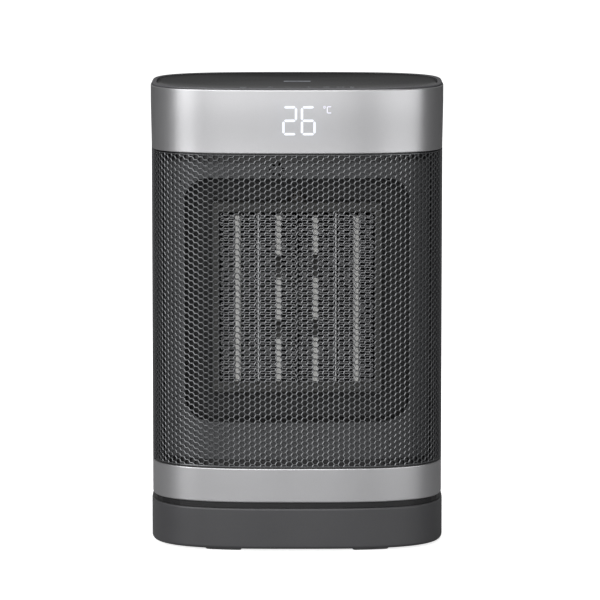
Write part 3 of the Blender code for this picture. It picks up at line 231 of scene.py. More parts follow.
def pressed_block(size: Triple, centre: Vector, press: Pair, radius: float, steps: int) -> Form:
    """Make a block with rounded edges and a shallow pressing in front.

    Args:
        size: Width, depth and height.
        centre: Its middle.
        press: Margin and depth of the pressing.
        radius: Radius of the rounded edges.
        steps: Segments of each rounding.

    Returns:
        The block.
    """
    form = block(size, centre)
    front = [face for face in form.faces if face.normal.y < -FACING]
    bmesh.ops.inset_individual(form, faces=front, thickness=press[0], depth=-press[1])
    round_off(form, steep_edges(form), radius, steps)
    return form


def flat_ring(radius: float, width: float, steps: int) -> Form:
    """Draw a flat ring.

    Args:
        radius: Its outer radius.
        width: Width of its line.
        steps: Number of its chords.

    Returns:
        The ring.
    """
    form = bmesh.new()
    bmesh.ops.create_circle(form, cap_ends=True, segments=steps, radius=radius)
    disc = form.faces[:]
    bmesh.ops.inset_individual(form, faces=disc, thickness=width)
    bmesh.ops.delete(form, geom=disc, context="FACES_ONLY")
    return form


def flat_bar(size: Pair, centre: Pair, turn: float = 0.0) -> Form:
    """Draw a flat bar.

    Args:
        size: Its width and length.
        centre: Its middle.
        turn: Its turn about the vertical.

    Returns:
        The bar.
    """
    form = bmesh.new()
    place = Matrix.Translation((*centre, 0)) @ Matrix.Rotation(turn, 4, "Z") @ Matrix.Diagonal((*size, 1, 1))
    bmesh.ops.create_grid(form, x_segments=1, y_segments=1, size=0.5, matrix=place)
    return form


def to_mesh(form: Form, name: str) -> bpy.types.Mesh:
    """Turn a form into a mesh.

    Args:
        form: The form, which is used up.
        name: The mesh's name.

    Returns:
        The mesh.
    """
    mesh = bpy.data.meshes.new(name)
    form.to_mesh(mesh)
    form.free()
    return mesh


def put_in_scene(name: str, data: bpy.types.ID) -> bpy.types.Object:
    """Put a mesh, a light or a camera into the scene.

    Args:
        name: The object's name.
        data: What it shows.

    Returns:
        The object, at the origin.
    """
    item = bpy.data.objects.new(name, data)
    bpy.context.scene.collection.objects.link(item)
    return item


def join_forms(forms: list[Form]) -> Form:
    """Put several forms into one.

    Args:
        forms: The forms, which are used up.

    Returns:
        One form that holds them all.
    """
    whole = bmesh.new()
    for form in forms:
        mesh = to_mesh(form, "part_form")
        whole.from_mesh(mesh)
        bpy.data.meshes.remove(mesh)
    return whole


def carve(form: Form, tools: list[Form]) -> Form:
    """Cut closed tools out of a form.

    Args:
        form: The form, which is used up.
        tools: The cutters, which don't touch each other.

    Returns:
        The cut form.
    """
    pair = []
    for name, source in (("carved", form), ("cutter", join_forms(tools))):
        face_out(source)
        pair.append(put_in_scene(name, to_mesh(source, name)))
    cut = pair[0].modifiers.new("cut", "BOOLEAN")
    cut.operation = "DIFFERENCE"
    cut.solver = "EXACT"
    cut.object = pair[1]
    graph = bpy.context.evaluated_depsgraph_get()
    result = bpy.data.meshes.new_from_object(pair[0].evaluated_get(graph))
    carved = bmesh.new()
    carved.from_mesh(result)
    bpy.data.meshes.remove(result)
    for item in pair:
        mesh = item.data
        bpy.data.objects.remove(item)
        bpy.data.meshes.remove(mesh)
    weld(carved, MERGE / 10)
    return carved


def cut_off(form: Form, point: Vector, normal: Vector) -> None:
    """Cut off what lies beyond a plane and close the cut.

    Args:
        form: The form, which is changed.
        point: A point on the plane.
        normal: The plane's direction, towards what is cut off.
    """
    cut = bmesh.ops.bisect_plane(
        form, geom=everything(form), plane_co=point, plane_no=normal, clear_outer=True
    )
    bmesh.ops.holes_fill(form, edges=edges_of(cut["geom_cut"]), sides=0)
    face_out(form)


# Plan outline and shells


@dataclass(frozen=True)
class Station:
    """One ring of a shell.

    A ring follows the heater's outline at an inset and height, rises towards the rear by tilt, and shrinks
    to a share of the plan. A ring with a circle is round, with that radius.
    """

    inset: float
    height: float
    tilt: float = 0.0
    share: float = 1.0
    circle: float = 0.0


def arc(inset: float, height: float, radius: float, first: float, last: float, steps: int) -> list[Station]:
    """List stations round an arc's centre, from one angle in degrees to another, with 90 upwards."""
    angles = (math.radians(first + (last - first) * step / steps) for step in range(steps + 1))
    return [Station(inset - radius * math.cos(a), height + radius * math.sin(a)) for a in angles]


@dataclass(frozen=True)
class Outline:
    """The rounded plan of the heater, a superellipse about the vertical axis."""

    half_width: float
    half_depth: float
    power: float = 3.2
    steps: int = 144

    def place(self, turn: Vector, station: Station) -> Vector:
        """Place a point of the unit circle on the outline.

        Args:
            turn: The point on the unit circle.
            station: The ring that it belongs to.

        Returns:
            The point on the shell.
        """
        if station.circle:
            return Vector((turn.x * station.circle, turn.y * station.circle, station.height))
        bend = 2 / self.power
        x = math.copysign(abs(turn.x) ** bend, turn.x) * (self.half_width - station.inset) * station.share
        y = math.copysign(abs(turn.y) ** bend, turn.y) * (self.half_depth - station.inset) * station.share
        return Vector((x, y, station.height + station.tilt * (0.5 + y / (2 * self.half_depth))))

    def depth(self, x: float, inset: float) -> float:
        """Say how far the wall stands from the middle plane at a place across the heater."""
        share = min(abs(x) / (self.half_width - inset), 1.0)
        return (self.half_depth - inset) * (1 - share**self.power) ** (1 / self.power)

    def loft(self, stations: list[Station]) -> Form:
        """Draw a ring through its stations and close what stays open.

        Args:
            stations: The rings in order, the last equal to the first on a hollow shell.

        Returns:
            The closed form.
        """
        form = bmesh.new()
        bmesh.ops.create_circle(form, segments=self.steps, radius=1.0)
        edges = form.edges[:]
        for _ in stations[1:]:
            edges, verts = draw_on(form, edges)
            bmesh.ops.translate(form, verts=verts, vec=(0, 0, 1))
        for vert in form.verts:
            vert.co = self.place(vert.co, stations[round(vert.co.z)])
        weld(form)
        bmesh.ops.holes_fill(form, edges=form.edges[:], sides=0)
        face_out(form)
        return form


@dataclass(frozen=True)
class BentSheet:
    """Bends a flat sheet round the front of the outline by arc length."""

    outline: Outline
    inset: float
    samples: int = 1200

    def table(self) -> list[Triple]:
        """List arc length, place across and depth along half of the front.

        Returns:
            The rows, from the middle to the side.
        """
        rows = [(0.0, 0.0, self.outline.half_depth - self.inset)]
        for index in range(1, self.samples + 1):
            turn = math.pi / 2 * index / self.samples
            point = self.outline.place(Vector((math.sin(turn), math.cos(turn), 0)), Station(self.inset, 0.0))
            length, x, y = rows[-1]
            rows.append((length + math.hypot(point.x - x, point.y - y), point.x, point.y))
        return rows

    def reach(self, depth: float) -> float:
        """Say how far along the sheet the wall comes down to a depth."""
        return max(row[0] for row in self.table() if row[2] >= depth)

    def bend(self, form: Form) -> None:
        """Bend a form that lies flat, with x along the sheet, y upwards and z into the heater.

        Args:
            form: The flat form, which is changed.
        """
        rows = self.table()
        lengths = [row[0] for row in rows]
        for vert in form.verts:
            run = min(abs(vert.co.x), lengths[-1] - MERGE)
            index = max(bisect_right(lengths, run) - 1, 0)
            start, end = rows[index], rows[index + 1]
            share = (run - start[0]) / (end[0] - start[0])
            x = start[1] + (end[1] - start[1]) * share
            y = start[2] + (end[2] - start[2]) * share
            out = Vector((start[2] - end[2], end[1] - start[1])).normalized()
            x, y = x - out.x * vert.co.z, y - out.y * vert.co.z
            vert.co = Vector((math.copysign(x, vert.co.x), -y, vert.co.y))


@dataclass
class Piece:
    """A finished piece of the heater and how it joins the model."""

    name: str
    body: Body
    slot: Slot
    finishes: list[Material]
    stands_for: tuple[str, ...] = ()
    smooth: bool = True

    def make(self, form: Form) -> None:
        """Turn a form into an object that rides on its body.

        Args:
            form: The piece's form in place, which is used up.
        """
        mesh = to_mesh(form, self.name)
        for finish in self.finishes:
            mesh.materials.append(finish)
        if self.smooth:
            mesh.shade_smooth()
            mesh.set_sharp_from_angle(angle=SMOOTH_LIMIT)
        item = put_in_scene(self.name, mesh)
        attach(item, self.body.value)
        if self.stands_for:
            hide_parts(*self.stands_for)
        LOG.info("%s: %d faces on %s", self.name, len(mesh.polygons), self.body.value)


# Node work


class NodeBench:
    """Adds and joins the nodes of one material, group or world."""

    def __init__(self, tree: bpy.types.NodeTree) -> None:
        """Work on one node tree."""
        self.tree = tree

    def add(self, kind: str, **settings: object) -> Node:
        """Add a node.

        Args:
            kind: Blender's name for the node.
            settings: Values of its own properties.

        Returns:
            The node.
        """
        node = self.tree.nodes.new(kind)
        for name, value in settings.items():
            setattr(node, name, value)
        return node

    def feed(self, target: Socket, value: object) -> None:
        """Set a socket to a value or join another socket to it.

        Args:
            target: The socket that takes the value.
            value: A number, a colour, a vector or the socket that gives it.
        """
        if isinstance(value, Socket):
            self.tree.links.new(value, target)
        elif isinstance(value, tuple) and len(value) == 3 and target.type == "RGBA":
            target.default_value = (*value, 1.0)
        else:
            target.default_value = value

    def fill(self, node: Node, **values: object) -> None:
        """Feed inputs of a node by name, with low lines for spaces."""
        for name, value in values.items():
            self.feed(node.inputs[name.replace("_", " ")], value)

    def use(self, group: bpy.types.NodeTree, **values: object) -> Node:
        """Place a shared group and feed its inputs.

        Args:
            group: The node group.
            values: Its inputs by name, with low lines for spaces.

        Returns:
            The group's node.
        """
        node = self.add("ShaderNodeGroup", node_tree=group)
        self.fill(node, **values)
        return node

    def sum(self, operation: str, first: object, second: object = 0.0, clamp: bool = False) -> Socket:
        """Do one sum on two values.

        Args:
            operation: Blender's name for the sum.
            first: The first number or socket.
            second: The second number or socket.
            clamp: Whether the result is kept between 0 and 1.

        Returns:
            The result's socket.
        """
        node = self.add("ShaderNodeMath", operation=operation, use_clamp=clamp)
        self.feed(node.inputs[0], first)
        self.feed(node.inputs[1], second)
        return node.outputs[0]

    def span(self, value: Socket, source: Pair, result: Pair = (0.0, 1.0), smooth: bool = False) -> Socket:
        """Map a value from one range to another.

        Args:
            value: The number's socket.
            source: The values that give the result's start and end.
            result: The result's start and end.
            smooth: Whether the change eases in and out.

        Returns:
            The result's socket.
        """
        node = self.add("ShaderNodeMapRange", interpolation_type="SMOOTHSTEP" if smooth else "LINEAR")
        self.fill(node, Value=value, From_Min=source[0], From_Max=source[1])
        self.fill(node, To_Min=result[0], To_Max=result[1])
        return node.outputs["Result"]

    def mix(self, share: object, first: object, second: object, blend: str = "MIX") -> Socket:
        """Mix two colours.

        Args:
            share: Share of the second colour.
            first: The first colour or socket.
            second: The second colour or socket.
            blend: How the second colour is laid on.

        Returns:
            The mixed colour's socket.
        """
        node = self.add("ShaderNodeMix", data_type="RGBA", blend_type=blend)
        self.feed(node.inputs[0], share)
        self.feed(node.inputs[6], first)
        self.feed(node.inputs[7], second)
        return node.outputs[2]

    def noise(self, place: Socket, scale: object, detail: float, roughness: float = 0.55) -> Socket:
        """Lay a noise on a place.

        Args:
            place: The socket of the coordinates.
            scale: Size of the noise, as steps to the metre.
            detail: Number of finer layers.
            roughness: Strength of the finer layers.

        Returns:
            The noise's factor.
        """
        node = self.add("ShaderNodeTexNoise")
        self.fill(node, Vector=place, Scale=scale, Detail=detail, Roughness=roughness)
        return node.outputs["Fac"]

    def parts(self, vector: Socket) -> Node:
        """Split a vector into X, Y and Z.

        Args:
            vector: The vector's socket.

        Returns:
            The node with the three outputs.
        """
        node = self.add("ShaderNodeSeparateXYZ")
        self.feed(node.inputs[0], vector)
        return node


class Draft(NodeBench):
    """A material in the making, with its shader and the coordinates on its object."""

    def __init__(self, name: str) -> None:
        """Start a material that holds its shader and nothing else.

        Args:
            name: The material's name.
        """
        self.material = bpy.data.materials.new(name)
        self.material.use_nodes = True
        super().__init__(self.material.node_tree)
        self.tree.nodes.clear()
        self.shader = self.add("ShaderNodeBsdfPrincipled")
        self.fill(self.add("ShaderNodeOutputMaterial"), Surface=self.shader.outputs["BSDF"])
        self.place = self.add("ShaderNodeTexCoord").outputs["Object"]

    def shade(self, **values: object) -> None:
        """Feed inputs of the shader by name, with low lines for spaces."""
        self.fill(self.shader, **values)

    def relief(self, height: Socket, depth: float) -> None:
        """Raise a relief on the shader's normal.

        Args:
            height: Socket of the height.
            depth: Depth of the relief in metres.
        """
        bump = self.add("ShaderNodeBump")
        self.fill(bump, Strength=1.0, Distance=depth, Height=height)
        self.shade(Normal=bump.outputs["Normal"])


SOCKETS = {"number": "NodeSocketFloat", "place": "NodeSocketVector", "colour": "NodeSocketColor"}


class Effects:
    """The surface effects that several finishes share, each a node group built once."""

    fine_scale: float = 2.3
    cell_share: float = 0.7
    fine_share: float = 0.3
    dust_scale: float = 160.0

    def __init__(self) -> None:
        """Build every shared group."""
        self.moulded_grain = self.make_moulded_grain()
        self.tone_drift = self.make_tone_drift()
        self.polish_drift = self.make_polish_drift()
        self.settled_dust = self.make_settled_dust()
        self.fine_scuffs = self.make_fine_scuffs()
        self.soft_window = self.make_soft_window()

    def open(self, name: str, outputs: dict[str, str], **inputs: str) -> tuple[NodeBench, Node, Node]:
        """Start a group with named inputs and outputs.

        Args:
            name: The group's name.
            outputs: Kind of each output by its name.
            inputs: Kind of each input by its name.

        Returns:
            The bench, the group's entry and its exit.
        """
        tree = bpy.data.node_groups.new(name, "ShaderNodeTree")
        for way, sockets in (("INPUT", inputs), ("OUTPUT", outputs)):
            for socket, kind in sockets.items():
                tree.interface.new_socket(name=socket, in_out=way, socket_type=SOCKETS[kind])
        bench = NodeBench(tree)
        return bench, bench.add("NodeGroupInput"), bench.add("NodeGroupOutput")

    def swing(self, bench: NodeBench, entry: Node, detail: float, roughness: float) -> Socket:
        """Give a wide noise to both sides of nothing, as strong as the group's Drift says.

        Args:
            bench: The group's bench.
            entry: The group's entry, with Place, Scale and Drift.
            detail: Number of finer layers.
            roughness: Strength of the finer layers.

        Returns:
            The swing's socket.
        """
        wide = bench.noise(entry.outputs["Place"], entry.outputs["Scale"], detail, roughness)
        level = bench.sum("SUBTRACT", wide, 0.5)
        return bench.sum("MULTIPLY", level, entry.outputs["Drift"])

    def make_moulded_grain(self) -> bpy.types.NodeTree:
        """Build the pebbled grain of moulded plastic and paint.

        Returns:
            The group.
        """
        outputs = {"Height": "number", "Shade": "number"}
        bench, entry, end = self.open("moulded_grain", outputs, Place="place", Scale="number")
        place, scale = entry.outputs["Place"], entry.outputs["Scale"]
        cells = bench.add("ShaderNodeTexVoronoi", feature="SMOOTH_F1")
        bench.fill(cells, Vector=place, Scale=scale)
        fine = bench.noise(place, bench.sum("MULTIPLY", scale, self.fine_scale), 2.0)
        coarse = bench.sum("MULTIPLY", cells.outputs["Distance"], self.cell_share)
        height = bench.sum("ADD", coarse, bench.sum("MULTIPLY", fine, self.fine_share))
        bench.fill(end, Height=height, Shade=bench.span(height, (0.2, 0.7)))
        return bench.tree

    def make_tone_drift(self) -> bpy.types.NodeTree:
        """Build the slow change of colour over a moulded or painted face.

        Returns:
            The group.
        """
        bench, entry, end = self.open(
            "tone_drift", {"Color": "colour"}, Place="place", Tone="colour", Drift="number", Scale="number"
        )
        level = bench.sum("ADD", self.swing(bench, entry, 2.0, 0.55), 1.0)
        grey = bench.add("ShaderNodeCombineColor")
        for index in range(3):
            bench.feed(grey.inputs[index], level)
        bench.fill(end, Color=bench.mix(1.0, entry.outputs["Tone"], grey.outputs[0], "MULTIPLY"))
        return bench.tree

    def make_polish_drift(self) -> bpy.types.NodeTree:
        """Build the uneven polish that handling leaves.

        Returns:
            The group.
        """
        bench, entry, end = self.open(
            "polish_drift", {"Roughness": "number"},
            Place="place", Roughness="number", Drift="number", Scale="number",
        )
        swing = self.swing(bench, entry, 4.0, 0.6)
        bench.fill(end, Roughness=bench.sum("ADD", entry.outputs["Roughness"], swing, clamp=True))
        return bench.tree

    def make_settled_dust(self) -> bpy.types.NodeTree:
        """Build the thin dust that lies on faces that look up.

        Returns:
            The group.
        """
        bench, entry, end = self.open(
            "settled_dust", {"Color": "colour", "Mask": "number"},
            Place="place", Surface="colour", Dust="colour", Amount="number",
        )
        upward = bench.parts(bench.add("ShaderNodeNewGeometry").outputs["Normal"])
        facing = bench.span(upward.outputs["Z"], (0.5, 1.0), smooth=True)
        patch = bench.noise(entry.outputs["Place"], self.dust_scale, 5.0, 0.65)
        patch = bench.span(patch, (0.4, 0.75), (0.25, 1.0))
        mask = bench.sum("MULTIPLY", facing, patch)
        mask = bench.sum("MULTIPLY", mask, entry.outputs["Amount"], clamp=True)
        bench.fill(end, Color=bench.mix(mask, entry.outputs["Surface"], entry.outputs["Dust"]), Mask=mask)
        return bench.tree

    def make_fine_scuffs(self) -> bpy.types.NodeTree:
        """Build faint streaks along one direction, as rolling and wiping leave.

        Returns:
            The group.
        """
        outputs = {"Height": "number", "Shade": "number"}
        bench, entry, end = self.open("fine_scuffs", outputs, Place="place", Stretch="place")
        stretched = bench.add("ShaderNodeVectorMath", operation="MULTIPLY")
        bench.feed(stretched.inputs[0], entry.outputs["Place"])
        bench.feed(stretched.inputs[1], entry.outputs["Stretch"])
        streak = bench.noise(stretched.outputs[0], 1.0, 5.0, 0.7)
        bench.fill(end, Height=streak, Shade=bench.span(streak, (0.3, 0.7)))
        return bench.tree

    def make_soft_window(self) -> bpy.types.NodeTree:
        """Build a soft-edged rectangle in x and z, one unit to each side of the place's origin.

        Returns:
            The group.
        """
        bench, entry, end = self.open("soft_window", {"Mask": "number"}, Place="place", Softness="number")
        parts = bench.parts(entry.outputs["Place"])
        squares = []
        for axis in ("X", "Z"):
            beyond = bench.sum("SUBTRACT", bench.sum("ABSOLUTE", parts.outputs[axis]), 1.0)
            squares.append(bench.sum("POWER", bench.sum("MAXIMUM", beyond, 0.0), 2.0))
        distance = bench.sum("SQRT", bench.sum("ADD", *squares))
        share = bench.sum("DIVIDE", distance, entry.outputs["Softness"], clamp=True)
        bench.fill(end, Mask=bench.span(share, (0.0, 1.0), (1.0, 0.0), smooth=True))
        return bench.tree


# Finishes


@dataclass(frozen=True)
class Finish:
    """A finish of the heater: its tone, its roughness, and the strength and scale of their drift and wear."""

    name: str
    colour: str
    roughness: float
    drift: Pair = (0.16, 38.0)
    wear: Pair = (0.10, 90.0)

    def tint(self, draft: Draft, effects: Effects) -> Socket:
        """Give the tone with its slow drift over the piece."""
        return draft.use(
            effects.tone_drift, Place=draft.place, Tone=tone(self.colour), Drift=self.drift[0],
            Scale=self.drift[1],
        ).outputs[0]

    def polish(self, draft: Draft, effects: Effects) -> Socket:
        """Give the roughness with its uneven wear."""
        return draft.use(
            effects.polish_drift, Place=draft.place, Roughness=self.roughness, Drift=self.wear[0],
            Scale=self.wear[1],
        ).outputs[0]

    def paint(self, draft: Draft, effects: Effects) -> None:
        """Lay the finish on a material, which each kind of finish does in its own way."""
        raise NotImplementedError(self.name)

    def build(self, effects: Effects) -> Material:
        """Build the material.

        Args:
            effects: The shared effects.

        Returns:
            The material.
        """
        draft = Draft(self.name)
        self.paint(draft, effects)
        return draft.material


@dataclass(frozen=True)
class MouldedPlastic(Finish):
    """Moulded plastic or rubber with a pebbled grain, uneven polish and a little dust."""

    wear: Pair = (0.12, 60.0)
    grain: float = 1400.0
    grain_depth: float = 0.012 * MM
    pore_shade: float = 0.10
    dust: float = 0.10
    dust_tone: str = "#8d8a85"
    dust_roughness: float = 0.3

    def paint(self, draft: Draft, effects: Effects) -> None:
        """Lay darker pores, then dust, and make the dusty places rougher.

        Args:
            draft: The material in the making.
            effects: The shared effects.
        """
        grain = draft.use(effects.moulded_grain, Place=draft.place, Scale=self.grain)
        tint = self.tint(draft, effects)
        pores = draft.mix(grain.outputs["Shade"], draft.mix(self.pore_shade, tint, BLACK), tint)
        dust = draft.use(
            effects.settled_dust, Place=draft.place, Surface=pores, Dust=tone(self.dust_tone),
            Amount=self.dust,
        )
        dulled = draft.sum("MULTIPLY", dust.outputs["Mask"], self.dust_roughness)
        rough = draft.sum("ADD", self.polish(draft, effects), dulled, clamp=True)
        draft.shade(Base_Color=dust.outputs["Color"], Roughness=rough)
        draft.relief(grain.outputs["Height"], self.grain_depth)


@dataclass(frozen=True)
class WorkedMetal(Finish):
    """Rolled, cast or coated metal with faint streaks along its rolling direction."""

    drift: Pair = (0.14, 70.0)
    wear: Pair = (0.14, 90.0)
    stretch: Triple = (60.0, 60.0, 1800.0)
    streak_depth: float = 0.004 * MM
    streak_shade: float = 0.12
    metallic: float = 1.0

    def paint(self, draft: Draft, effects: Effects) -> None:
        """Lay darker streaks and their relief.

        Args:
            draft: The material in the making.
            effects: The shared effects.
        """
        streak = draft.use(effects.fine_scuffs, Place=draft.place, Stretch=self.stretch)
        tint = self.tint(draft, effects)
        colour = draft.mix(streak.outputs["Shade"], draft.mix(self.streak_shade, tint, BLACK), tint)
        draft.shade(Base_Color=colour, Roughness=self.polish(draft, effects), Metallic=self.metallic)
        draft.relief(streak.outputs["Height"], self.streak_depth)


@dataclass(frozen=True)
class SatinSilver(Finish):
    """Silver paint with fine flakes, and the glow of the lit number through it."""

    drift: Pair = (0.05, 24.0)
    wear: Pair = (0.05, 45.0)
    flakes: float = 5200.0
    flake_shade: float = 0.10
    flake_depth: float = 0.003 * MM
    metallic: float = 0.88
    coat: float = 0.12
    coat_roughness: float = 0.30
    glow: str = "#8f9ab0"
    glow_strength: float = 0.0
    window_centre: Triple = (0.0, 0.0, 0.0)
    window_half: Pair = (1.0, 1.0)
    number_half: Pair = (1.0, 1.0)
    softness: Pair = (0.12, 0.8)
    shares: Pair = (0.30, 0.70)

    def paint(self, draft: Draft, effects: Effects) -> None:
        """Lay the flakes under a thin coat.

        Args:
            draft: The material in the making.
            effects: The shared effects.
        """
        flakes = draft.use(effects.moulded_grain, Place=draft.place, Scale=self.flakes)
        tint = self.tint(draft, effects)
        colour = draft.mix(flakes.outputs["Shade"], draft.mix(self.flake_shade, tint, BLACK), tint)
        draft.shade(
            Base_Color=colour, Roughness=self.polish(draft, effects), Metallic=self.metallic,
            Coat_Weight=self.coat, Coat_Roughness=self.coat_roughness,
        )
        draft.relief(flakes.outputs["Height"], self.flake_depth)
        if self.glow_strength:
            self.light(draft, effects)

    def light(self, draft: Draft, effects: Effects) -> None:
        """Let the number's light shine through the paint, in its window and stronger round the number.

        Args:
            draft: The material in the making.
            effects: The shared effects.
        """
        glows = []
        for half, softness, share in zip((self.window_half, self.number_half), self.softness, self.shares):
            scale = (1 / half[0], 1.0, 1 / half[1])
            spot = draft.add("ShaderNodeMapping")
            centre = tuple(-c * s for c, s in zip(self.window_centre, scale))
            draft.fill(spot, Vector=draft.place, Scale=scale, Location=centre)
            window = draft.use(effects.soft_window, Place=spot.outputs["Vector"], Softness=softness)
            glows.append(draft.sum("MULTIPLY", window.outputs[0], share))
        colour = draft.mix(draft.sum("ADD", *glows), BLACK, tone(self.glow))
        draft.shade(Emission_Color=colour, Emission_Strength=self.glow_strength)


@dataclass(frozen=True)
class GlossGlass(Finish):
    """Smoked touch glass with a deep gloss, a wiped film and a little dust."""

    drift: Pair = (0.10, 18.0)
    dust: float = 0.05
    dust_tone: str = "#7d7f84"
    wipes: Triple = (26.0, 190.0, 40.0)
    wipe_depth: float = 0.002 * MM
    film: float = 0.07
    coat: float = 0.2
    coat_roughness: float = 0.06

    def paint(self, draft: Draft, effects: Effects) -> None:
        """Lay dust and a wiped film on the glass.

        Args:
            draft: The material in the making.
            effects: The shared effects.
        """
        tint = self.tint(draft, effects)
        dust = draft.use(
            effects.settled_dust, Place=draft.place, Surface=tint, Dust=tone(self.dust_tone), Amount=self.dust
        )
        wipes = draft.use(effects.fine_scuffs, Place=draft.place, Stretch=self.wipes)
        rough = (self.roughness, self.roughness + self.film)
        draft.shade(
            Base_Color=dust.outputs["Color"], Roughness=draft.span(wipes.outputs["Shade"], (0.0, 1.0), rough),
            Coat_Weight=self.coat, Coat_Roughness=self.coat_roughness,
        )
        draft.relief(wipes.outputs["Height"], self.wipe_depth)


@dataclass(frozen=True)
class GlazedCeramic(Finish):
    """Pressed ceramic with a speckled body, for the heating bars and the sensors."""

    drift: Pair = (0.18, 110.0)
    wear: Pair = (0.2, 200.0)
    speck: float = 2600.0
    speck_share: float = 0.15
    speck_tone: str = "#6b6258"
    speck_depth: float = 0.003 * MM

    def paint(self, draft: Draft, effects: Effects) -> None:
        """Lay dark specks into the body.

        Args:
            draft: The material in the making.
            effects: The shared effects.
        """
        speck = draft.use(effects.moulded_grain, Place=draft.place, Scale=self.speck)
        dots = draft.span(speck.outputs["Shade"], (0.10, 0.30), (self.speck_share, 0.0))
        colour = draft.mix(dots, self.tint(draft, effects), tone(self.speck_tone))
        draft.shade(Base_Color=colour, Roughness=self.polish(draft, effects))
        draft.relief(speck.outputs["Height"], self.speck_depth)


@dataclass(frozen=True)
class WovenMesh(Finish):
    """Woven filter wool, crossed by threads in x and z."""

    drift: Pair = (0.3, 90.0)
    thread: float = 1.1 * MM
    thread_depth: float = 0.15 * MM
    gap_shade: float = 0.75

    def paint(self, draft: Draft, effects: Effects) -> None:
        """Lay the threads over the darker gaps.

        Args:
            draft: The material in the making.
            effects: The shared effects.
        """
        parts = draft.parts(draft.place)
        waves = []
        for axis in ("X", "Z"):
            turn = draft.sum("MULTIPLY", parts.outputs[axis], 2 * math.pi / self.thread)
            waves.append(draft.sum("ABSOLUTE", draft.sum("SINE", turn)))
        weave = draft.sum("MAXIMUM", *waves)
        tint = self.tint(draft, effects)
        colour = draft.mix(draft.span(weave, (0.55, 0.95)), draft.mix(self.gap_shade, tint, BLACK), tint)
        draft.shade(Base_Color=colour, Roughness=self.polish(draft, effects))
        draft.relief(weave, self.thread_depth)


@dataclass(frozen=True)
class CircuitBoard(Finish):
    """Solder mask over copper tracks that run in steps across the board."""

    drift: Pair = (0.2, 60.0)
    wear: Pair = (0.15, 90.0)
    track: float = 260.0
    track_tone: str = "#4f7a4a"
    track_depth: float = 0.03 * MM

    def paint(self, draft: Draft, effects: Effects) -> None:
        """Lay the tracks under the mask.

        Args:
            draft: The material in the making.
            effects: The shared effects.
        """
        cells = draft.add("ShaderNodeTexVoronoi", feature="F1", distance="MANHATTAN")
        draft.fill(cells, Vector=draft.place, Scale=self.track)
        edge = draft.span(cells.outputs["Distance"], (0.42, 0.48))
        colour = draft.mix(edge, self.tint(draft, effects), tone(self.track_tone))
        draft.shade(Base_Color=colour, Roughness=self.polish(draft, effects))
        draft.relief(edge, self.track_depth)


@dataclass(frozen=True)
class LitLensAndPaintedGlow(Finish):
    """A face with its own light, which drifts a little: a lit diffuser with a lamp behind it, a painted glow
    on print that has no lamp, and plain print where the strength is nothing.
    """

    drift: Pair = (0.10, 260.0)
    speck: float = 3200.0
    strength: float = 1.0
    edge: str = "#b9c4da"
    shadow: float = 0.8

    def paint(self, draft: Draft, effects: Effects) -> None:
        """Lay a darker body and a speckled light, which on print is a painted glow.

        Args:
            draft: The material in the making.
            effects: The shared effects.
        """
        tint = self.tint(draft, effects)
        speck = draft.use(effects.moulded_grain, Place=draft.place, Scale=self.speck)
        draft.shade(
            Base_Color=draft.mix(self.shadow, tint, BLACK), Roughness=self.polish(draft, effects),
            Emission_Color=draft.mix(speck.outputs["Shade"], tone(self.edge), tint),
            Emission_Strength=self.strength,
        )


# Sub-assemblies


@dataclass
class HeaterPlan:
    """Levels and outline that every shell shares, read from the frame."""

    base_low: float = field(init=False)
    base_high: float = field(init=False)
    band_low: float = field(init=False)
    grille_low: float = field(init=False)
    grille_high: float = field(init=False)
    body_high: float = field(init=False)
    band_seam: float = field(init=False)
    grille_seam: float = field(init=False)
    outline: Outline = field(init=False)
    waist: float = 0.5 * MM
    flare: float = 31.0 * MM
    wrap: float = 9.0 * MM
    lap: float = 5.0 * MM

    def __post_init__(self) -> None:
        """Read the levels and the outline, and let the mesh wrap a little past its solid."""
        base, grille, band = (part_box(node) for node in ("base_shell", "front_grille", "upper_band"))
        self.base_low, self.base_high = base[0].z, base[1].z
        self.band_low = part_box("lower_band")[0].z
        self.grille_low, self.grille_high = grille[0].z, grille[1].z
        self.body_high, self.band_seam = band[1].z, band[1].y
        self.grille_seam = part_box("rear_housing")[0].y + self.wrap
        self.outline = Outline(base[1].x, base[1].y)

    def skin(self, height: float) -> float:
        """Say how far the skin stands inside the outline, which shrinks to nothing up the upper band."""
        share = min(max((height - self.grille_high - FIT) / self.flare, 0.0), 1.0)
        return self.waist * (1 - share * share * (3 - 2 * share))

    def wall(self, low: float, high: float, steps: int) -> list[Station]:
        """List stations up the skin between two heights.

        Args:
            low: Height of the first station.
            high: Height of the last station.
            steps: Number of steps between them.

        Returns:
            The stations, with a close one at each end that keeps the wall's shading straight.
        """
        heights = [low + (high - low) * index / steps for index in range(steps + 1)]
        heights[1:1] = [low + CLOSE]
        heights[-1:-1] = [high - CLOSE]
        return [Station(self.skin(height), height) for height in heights]


